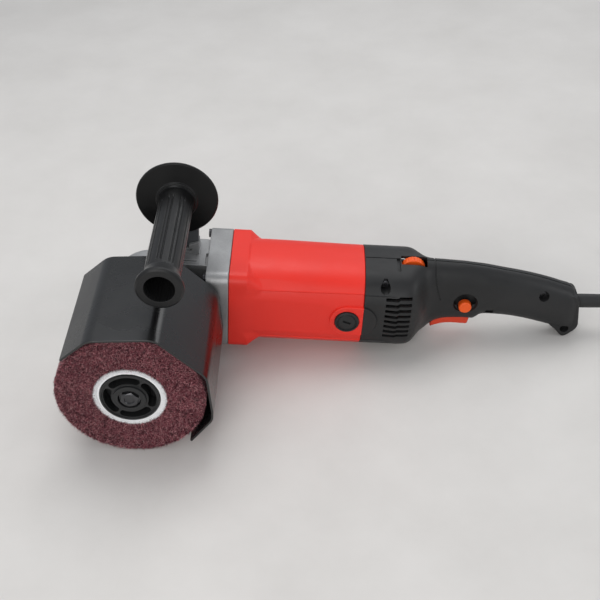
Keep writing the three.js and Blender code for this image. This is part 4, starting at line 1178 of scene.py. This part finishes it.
def hollow_body():
    """Both shells as one: the outer form, hollowed, with posts for its two screws."""
    outer = skin("rear_outer", shell_rings(0, SHELL["start"], SHELL["end"], 2))
    tail = prism("tail", "y", rounded(TAIL_OUTLINE, 3, 4), MOTOR_Y - 11, MOTOR_Y + 11, 1.6, 3)
    pads = [brush_pad(side, SHELL["start"], 210) for side in (-1, 1)]
    posts = [rod("post", "y", radius, MOTOR_Y - reach, MOTOR_Y + reach, (x, z))
             for x, z, radius, reach in SCREW_POSTS]
    posts = [keep(post, skin("core", shell_rings(1.3, 185, 392, 4))) for post in posts]
    inner = skin("inner", shell_rings(SHELL["wall"], 185, 365, 4))
    return join(cut(join(outer, tail, *pads), inner), *posts)


def control_cutters():
    """Openings for the dial, the trigger and the lock button, and the hole to hang it by."""
    dial_slot = block("dial_slot", (DIAL["x"] - 11.5, DIAL["x"] + 11.8),
                      (MOTOR_Y - 8.2, MOTOR_Y + 4.4), (DIAL["z"], 50), 0, 1)
    beside_dial = block("beside_dial", (217.4, 220.6), (27.2, 45.4), (30, 50), 0, 0.8)
    trigger_slot = block("trigger_slot", (254.2, 290.4), (MOTOR_Y - 8.5, MOTOR_Y + 8.5),
                         (-45, -8.4), 0, 0.8)
    hang_hole = rod("hang_hole", "y", HANG_HOLE["radius"], 20, 70, (HANG_HOLE["x"], HANG_HOLE["z"]))
    dish = revolve("dish", "y", [(0, 15), (11.3, 15), (11.0, 29.6), (9.8, 31.7), (0, 31.7)],
                   (LOCK["x"] + 0.1, LOCK["z"] + 3.0), 60)
    lock_hole = rod("lock_hole", "y", 7.0, 20, 40, (LOCK["x"], LOCK["z"]))
    return [dial_slot, shallow(beside_dial, 2.1), trigger_slot, hang_hole, dish, lock_hole]


def case_cutters():
    """Bores for the cord sleeve and the screws, and the small marks of the moulding."""
    sleeve_bore = sleeve_line(rod("sleeve_bore", "x", 6.7, 8, 34))
    collar_bore = sleeve_line(rod("collar_bore", "x", 9, -8, 12.3))
    screw_holes = [rod("screw_hole", "y", radius, 0, depth, (x, z), 40)
                   for x, z, radius, depth in SCREW_HOLES]
    drop = prism("drop", "y", [(203.2, 33.6), (210.8, 33.6), (207.9, 38.4), (206.1, 38.4)], 0, 20, 0)
    notch = block("notch", (302.4, 309.6), (24, 36.5), (-6.4, -1.6), 0, 0.8)
    seam = [(251.0, 46), (252.4, 46), (252.9, 34), (254.9, 24), (259.6, 10), (258.6, 10), (253.5, 24),
            (251.4, 34)]
    seam_groove = shallow(prism("seam", "y", seam, 0, 90, 0), 0.75)
    half = 0.55
    top_line = [(MOTOR_Y - half, 0), (MOTOR_Y + half, 0), (MOTOR_Y + half, 60), (MOTOR_Y - half, 60)]
    rim = shallow(prism("rim", "x", top_line, 190, 386, 0), 0.45)
    return [sleeve_bore, collar_bore, *screw_holes, drop, notch, seam_groove, rim]


def make_rear_shells():
    near = cut(hollow_body(), *control_cutters(), *case_cutters())
    far = added("rear_far", near.data.copy())
    near.name = "rear_near"
    keep(near, block("half", (180, 400), (-20, MOTOR_Y - SHELL["gap"]), (-60, 60), 0, 0.1))
    keep(far, block("half", (180, 400), (MOTOR_Y + SHELL["gap"], 110), (-60, 60), 0, 0.1))
    cut(near, vent_cutters(-1))
    cut(far, vent_cutters(1))
    piece(near, "black_plastic", ["rear_shell_near"], crease=FINE_CREASE)
    piece(far, "black_plastic", ["rear_shell_far"], crease=FINE_CREASE)


# ---- controls and cord outlet ---------------------------------------------------------------
def make_controls():
    outline = [(256, -11.4), (254.9, -28.2), (260.3, -25.7), (266.7, -23.4), (273.5, -22.6),
               (281, -22.9), (288.8, -23.1), (289.8, -16.5), (289.8, -11.4)]
    radii = [0, 1.2, 3, 3, 4, 3, 2, 1, 0]
    trigger = prism("trigger_blade", "y", rounded(outline, radii, 4), MOTOR_Y - 8, MOTOR_Y + 8, 1.3, 4)
    piece(trigger, "trigger_red", ["trigger"], "trigger_lever")

    button = revolve("lock_cap", "y", [(0, 0.3), (3.6, 0.1), (4.9, 0), (5.75, 0.9), (5.75, 6.3),
                                       (0, 6.3)], soft=0.5)
    shifted(button, (LOCK["x"], 26.2, LOCK["z"]))
    piece(button, "orange_plastic", ["lock_button"], "lock_on_button")

    half = DIAL["width"] / 2
    wheel = revolve("dial_rim", "y", [(2.6, -half), (DIAL["radius"], -half), (DIAL["radius"], half),
                                      (2.6, half)], soft=0.6, sides=144,
                    wave=lambda angle, along: -0.35 * max(0.0, math.cos(angle * 24) - 0.45) * 1.8)
    marks = [turned(block("mark", (-0.5, 0.5), (-1.6, 1.6), (DIAL["radius"] - 0.75, 14), 0, 0.2), "Y",
                    60 * i) for i in range(6)]
    wheel = shifted(cut(wheel, gather("marks", *marks)), (DIAL["x"], MOTOR_Y, DIAL["z"]))
    piece(wheel, "orange_plastic", ["speed_dial"], "dial_wheel")

    for i, (x, z, reach) in enumerate(SHELL_SCREWS):
        socket_screw(f"case_screw_{i + 1}", f"shell_screw_{i + 1}", "y", (x, z),
                     MOTOR_Y - reach + 2.8, -1, 3.3, 2.9, 1.5, reach)


def make_outlet():
    profile = [(0, 0.6), (8.4, 0.6), (8.4, 11.6), (6.35, 12), (6.35, 30), (6.2, 42)]
    for i in range(7):
        start = 44 + i * 4.6
        wide = 6.15 - (start - 30) * 0.026
        profile += [(wide, start), (wide - 0.05, start + 3.0), (wide - 1.0, start + 3.3),
                    (wide - 1.0, start + 4.2)]
    profile += [(5.0, 76.6), (4.8, SLEEVE["length"] - 0.6), (4.2, SLEEVE["length"]),
                (0, SLEEVE["length"])]
    sleeve = revolve("cord_sleeve", "x", profile, soft=0.3, sides=64)
    piece(sleeve_line(sleeve), "cord_rubber", ["strain_relief"])


def finish_inner_parts():
    """The parts that only show through gaps stay as the CAD has them, with their own finishes."""
    slots = {entry["node"]: entry["material_slot"] for entry in frame["record"]["subparts"]}
    for name, node in frame["nodes"].items():
        if node.hide_render:
            continue
        node.data.materials.clear()
        node.data.materials.append(MATERIALS[slots[name]])
        node.data.polygons.foreach_set("use_smooth", [True] * len(node.data.polygons))
        node.data.set_sharp_from_angle(angle=math.radians(35))


# ---- stage ----------------------------------------------------------------------------------
FLOOR = 3.0


def make_stage():
    look = Shader("floor")
    grain = look.noise(9, 5, 0.6)
    tone = look.ramp(grain, [(0.3, (0.62, 0.60, 0.575)), (0.7, (0.68, 0.66, 0.635))])
    fine = look.noise(260, 4, 0.6)
    material = look.feed(colour=tone, roughness=look.span(fine, 0.55, 0.75),
                      normal=look.bump(fine, 0.06, 0.0002))
    corners = [(-FLOOR, -FLOOR, 0), (FLOOR, -FLOOR, 0), (FLOOR, FLOOR, 0), (-FLOOR, FLOOR, 0)]
    floor = loose_object("floor", corners, [(0, 1, 2, 3)])
    floor.data.materials.append(material)


LIGHT_AIM = (0, 0, 0.05)
LIGHTS = {
    "key": {"place": (-0.25, 0.45, 1.3), "size": (1.1, 0.8), "power": 9.0},
    "fill": {"place": (-0.35, -1.3, 0.75), "size": (1.1, 0.8), "power": 9.2},
    "back": {"place": (0.75, 1.4, 1.05), "size": (1.0, 0.7), "power": 3.4},
    "rim": {"place": (-1.2, -0.1, 0.55), "size": (0.4, 0.8), "power": 1.3},
    "side": {"place": (1.3, -0.4, 0.7), "size": (0.6, 1.0), "power": 3.5},
}
WARM = {"fill": (1, 0.98, 0.96)}
SKY = {"colour": (0.86, 0.9, 0.96, 1), "strength": 0.42}


def area_light(name, place, size, power):
    data = bpy.data.lights.new(name, "AREA")
    data.shape = "RECTANGLE"
    data.size, data.size_y = size
    data.energy = power
    data.color = WARM.get(name, (1, 1, 1))
    light = added(name, data)
    light.location = Vector(place)
    light.rotation_mode = "QUATERNION"
    light.rotation_quaternion = (Vector(LIGHT_AIM) - Vector(place)).to_track_quat("-Z", "Y")


def make_lights():
    world = bpy.data.worlds.new("studio")
    world.use_nodes = True
    background = world.node_tree.nodes["Background"]
    background.inputs["Color"].default_value = SKY["colour"]
    background.inputs["Strength"].default_value = SKY["strength"]
    bpy.context.scene.world = world
    for name, light in LIGHTS.items():
        area_light(name, **light)
    bpy.context.scene.view_settings.view_transform = "Standard"


make_camera()
make_cord(make_plug())
make_abrasive()
make_core()
make_hub()
make_guard()
make_grip()
make_grip_bracket()
make_gear_case()
make_case_screws()
make_bearing_box()
make_motor_housing()
make_rear_shells()
make_controls()
make_outlet()
finish_inner_parts()
make_stage()
make_lights()
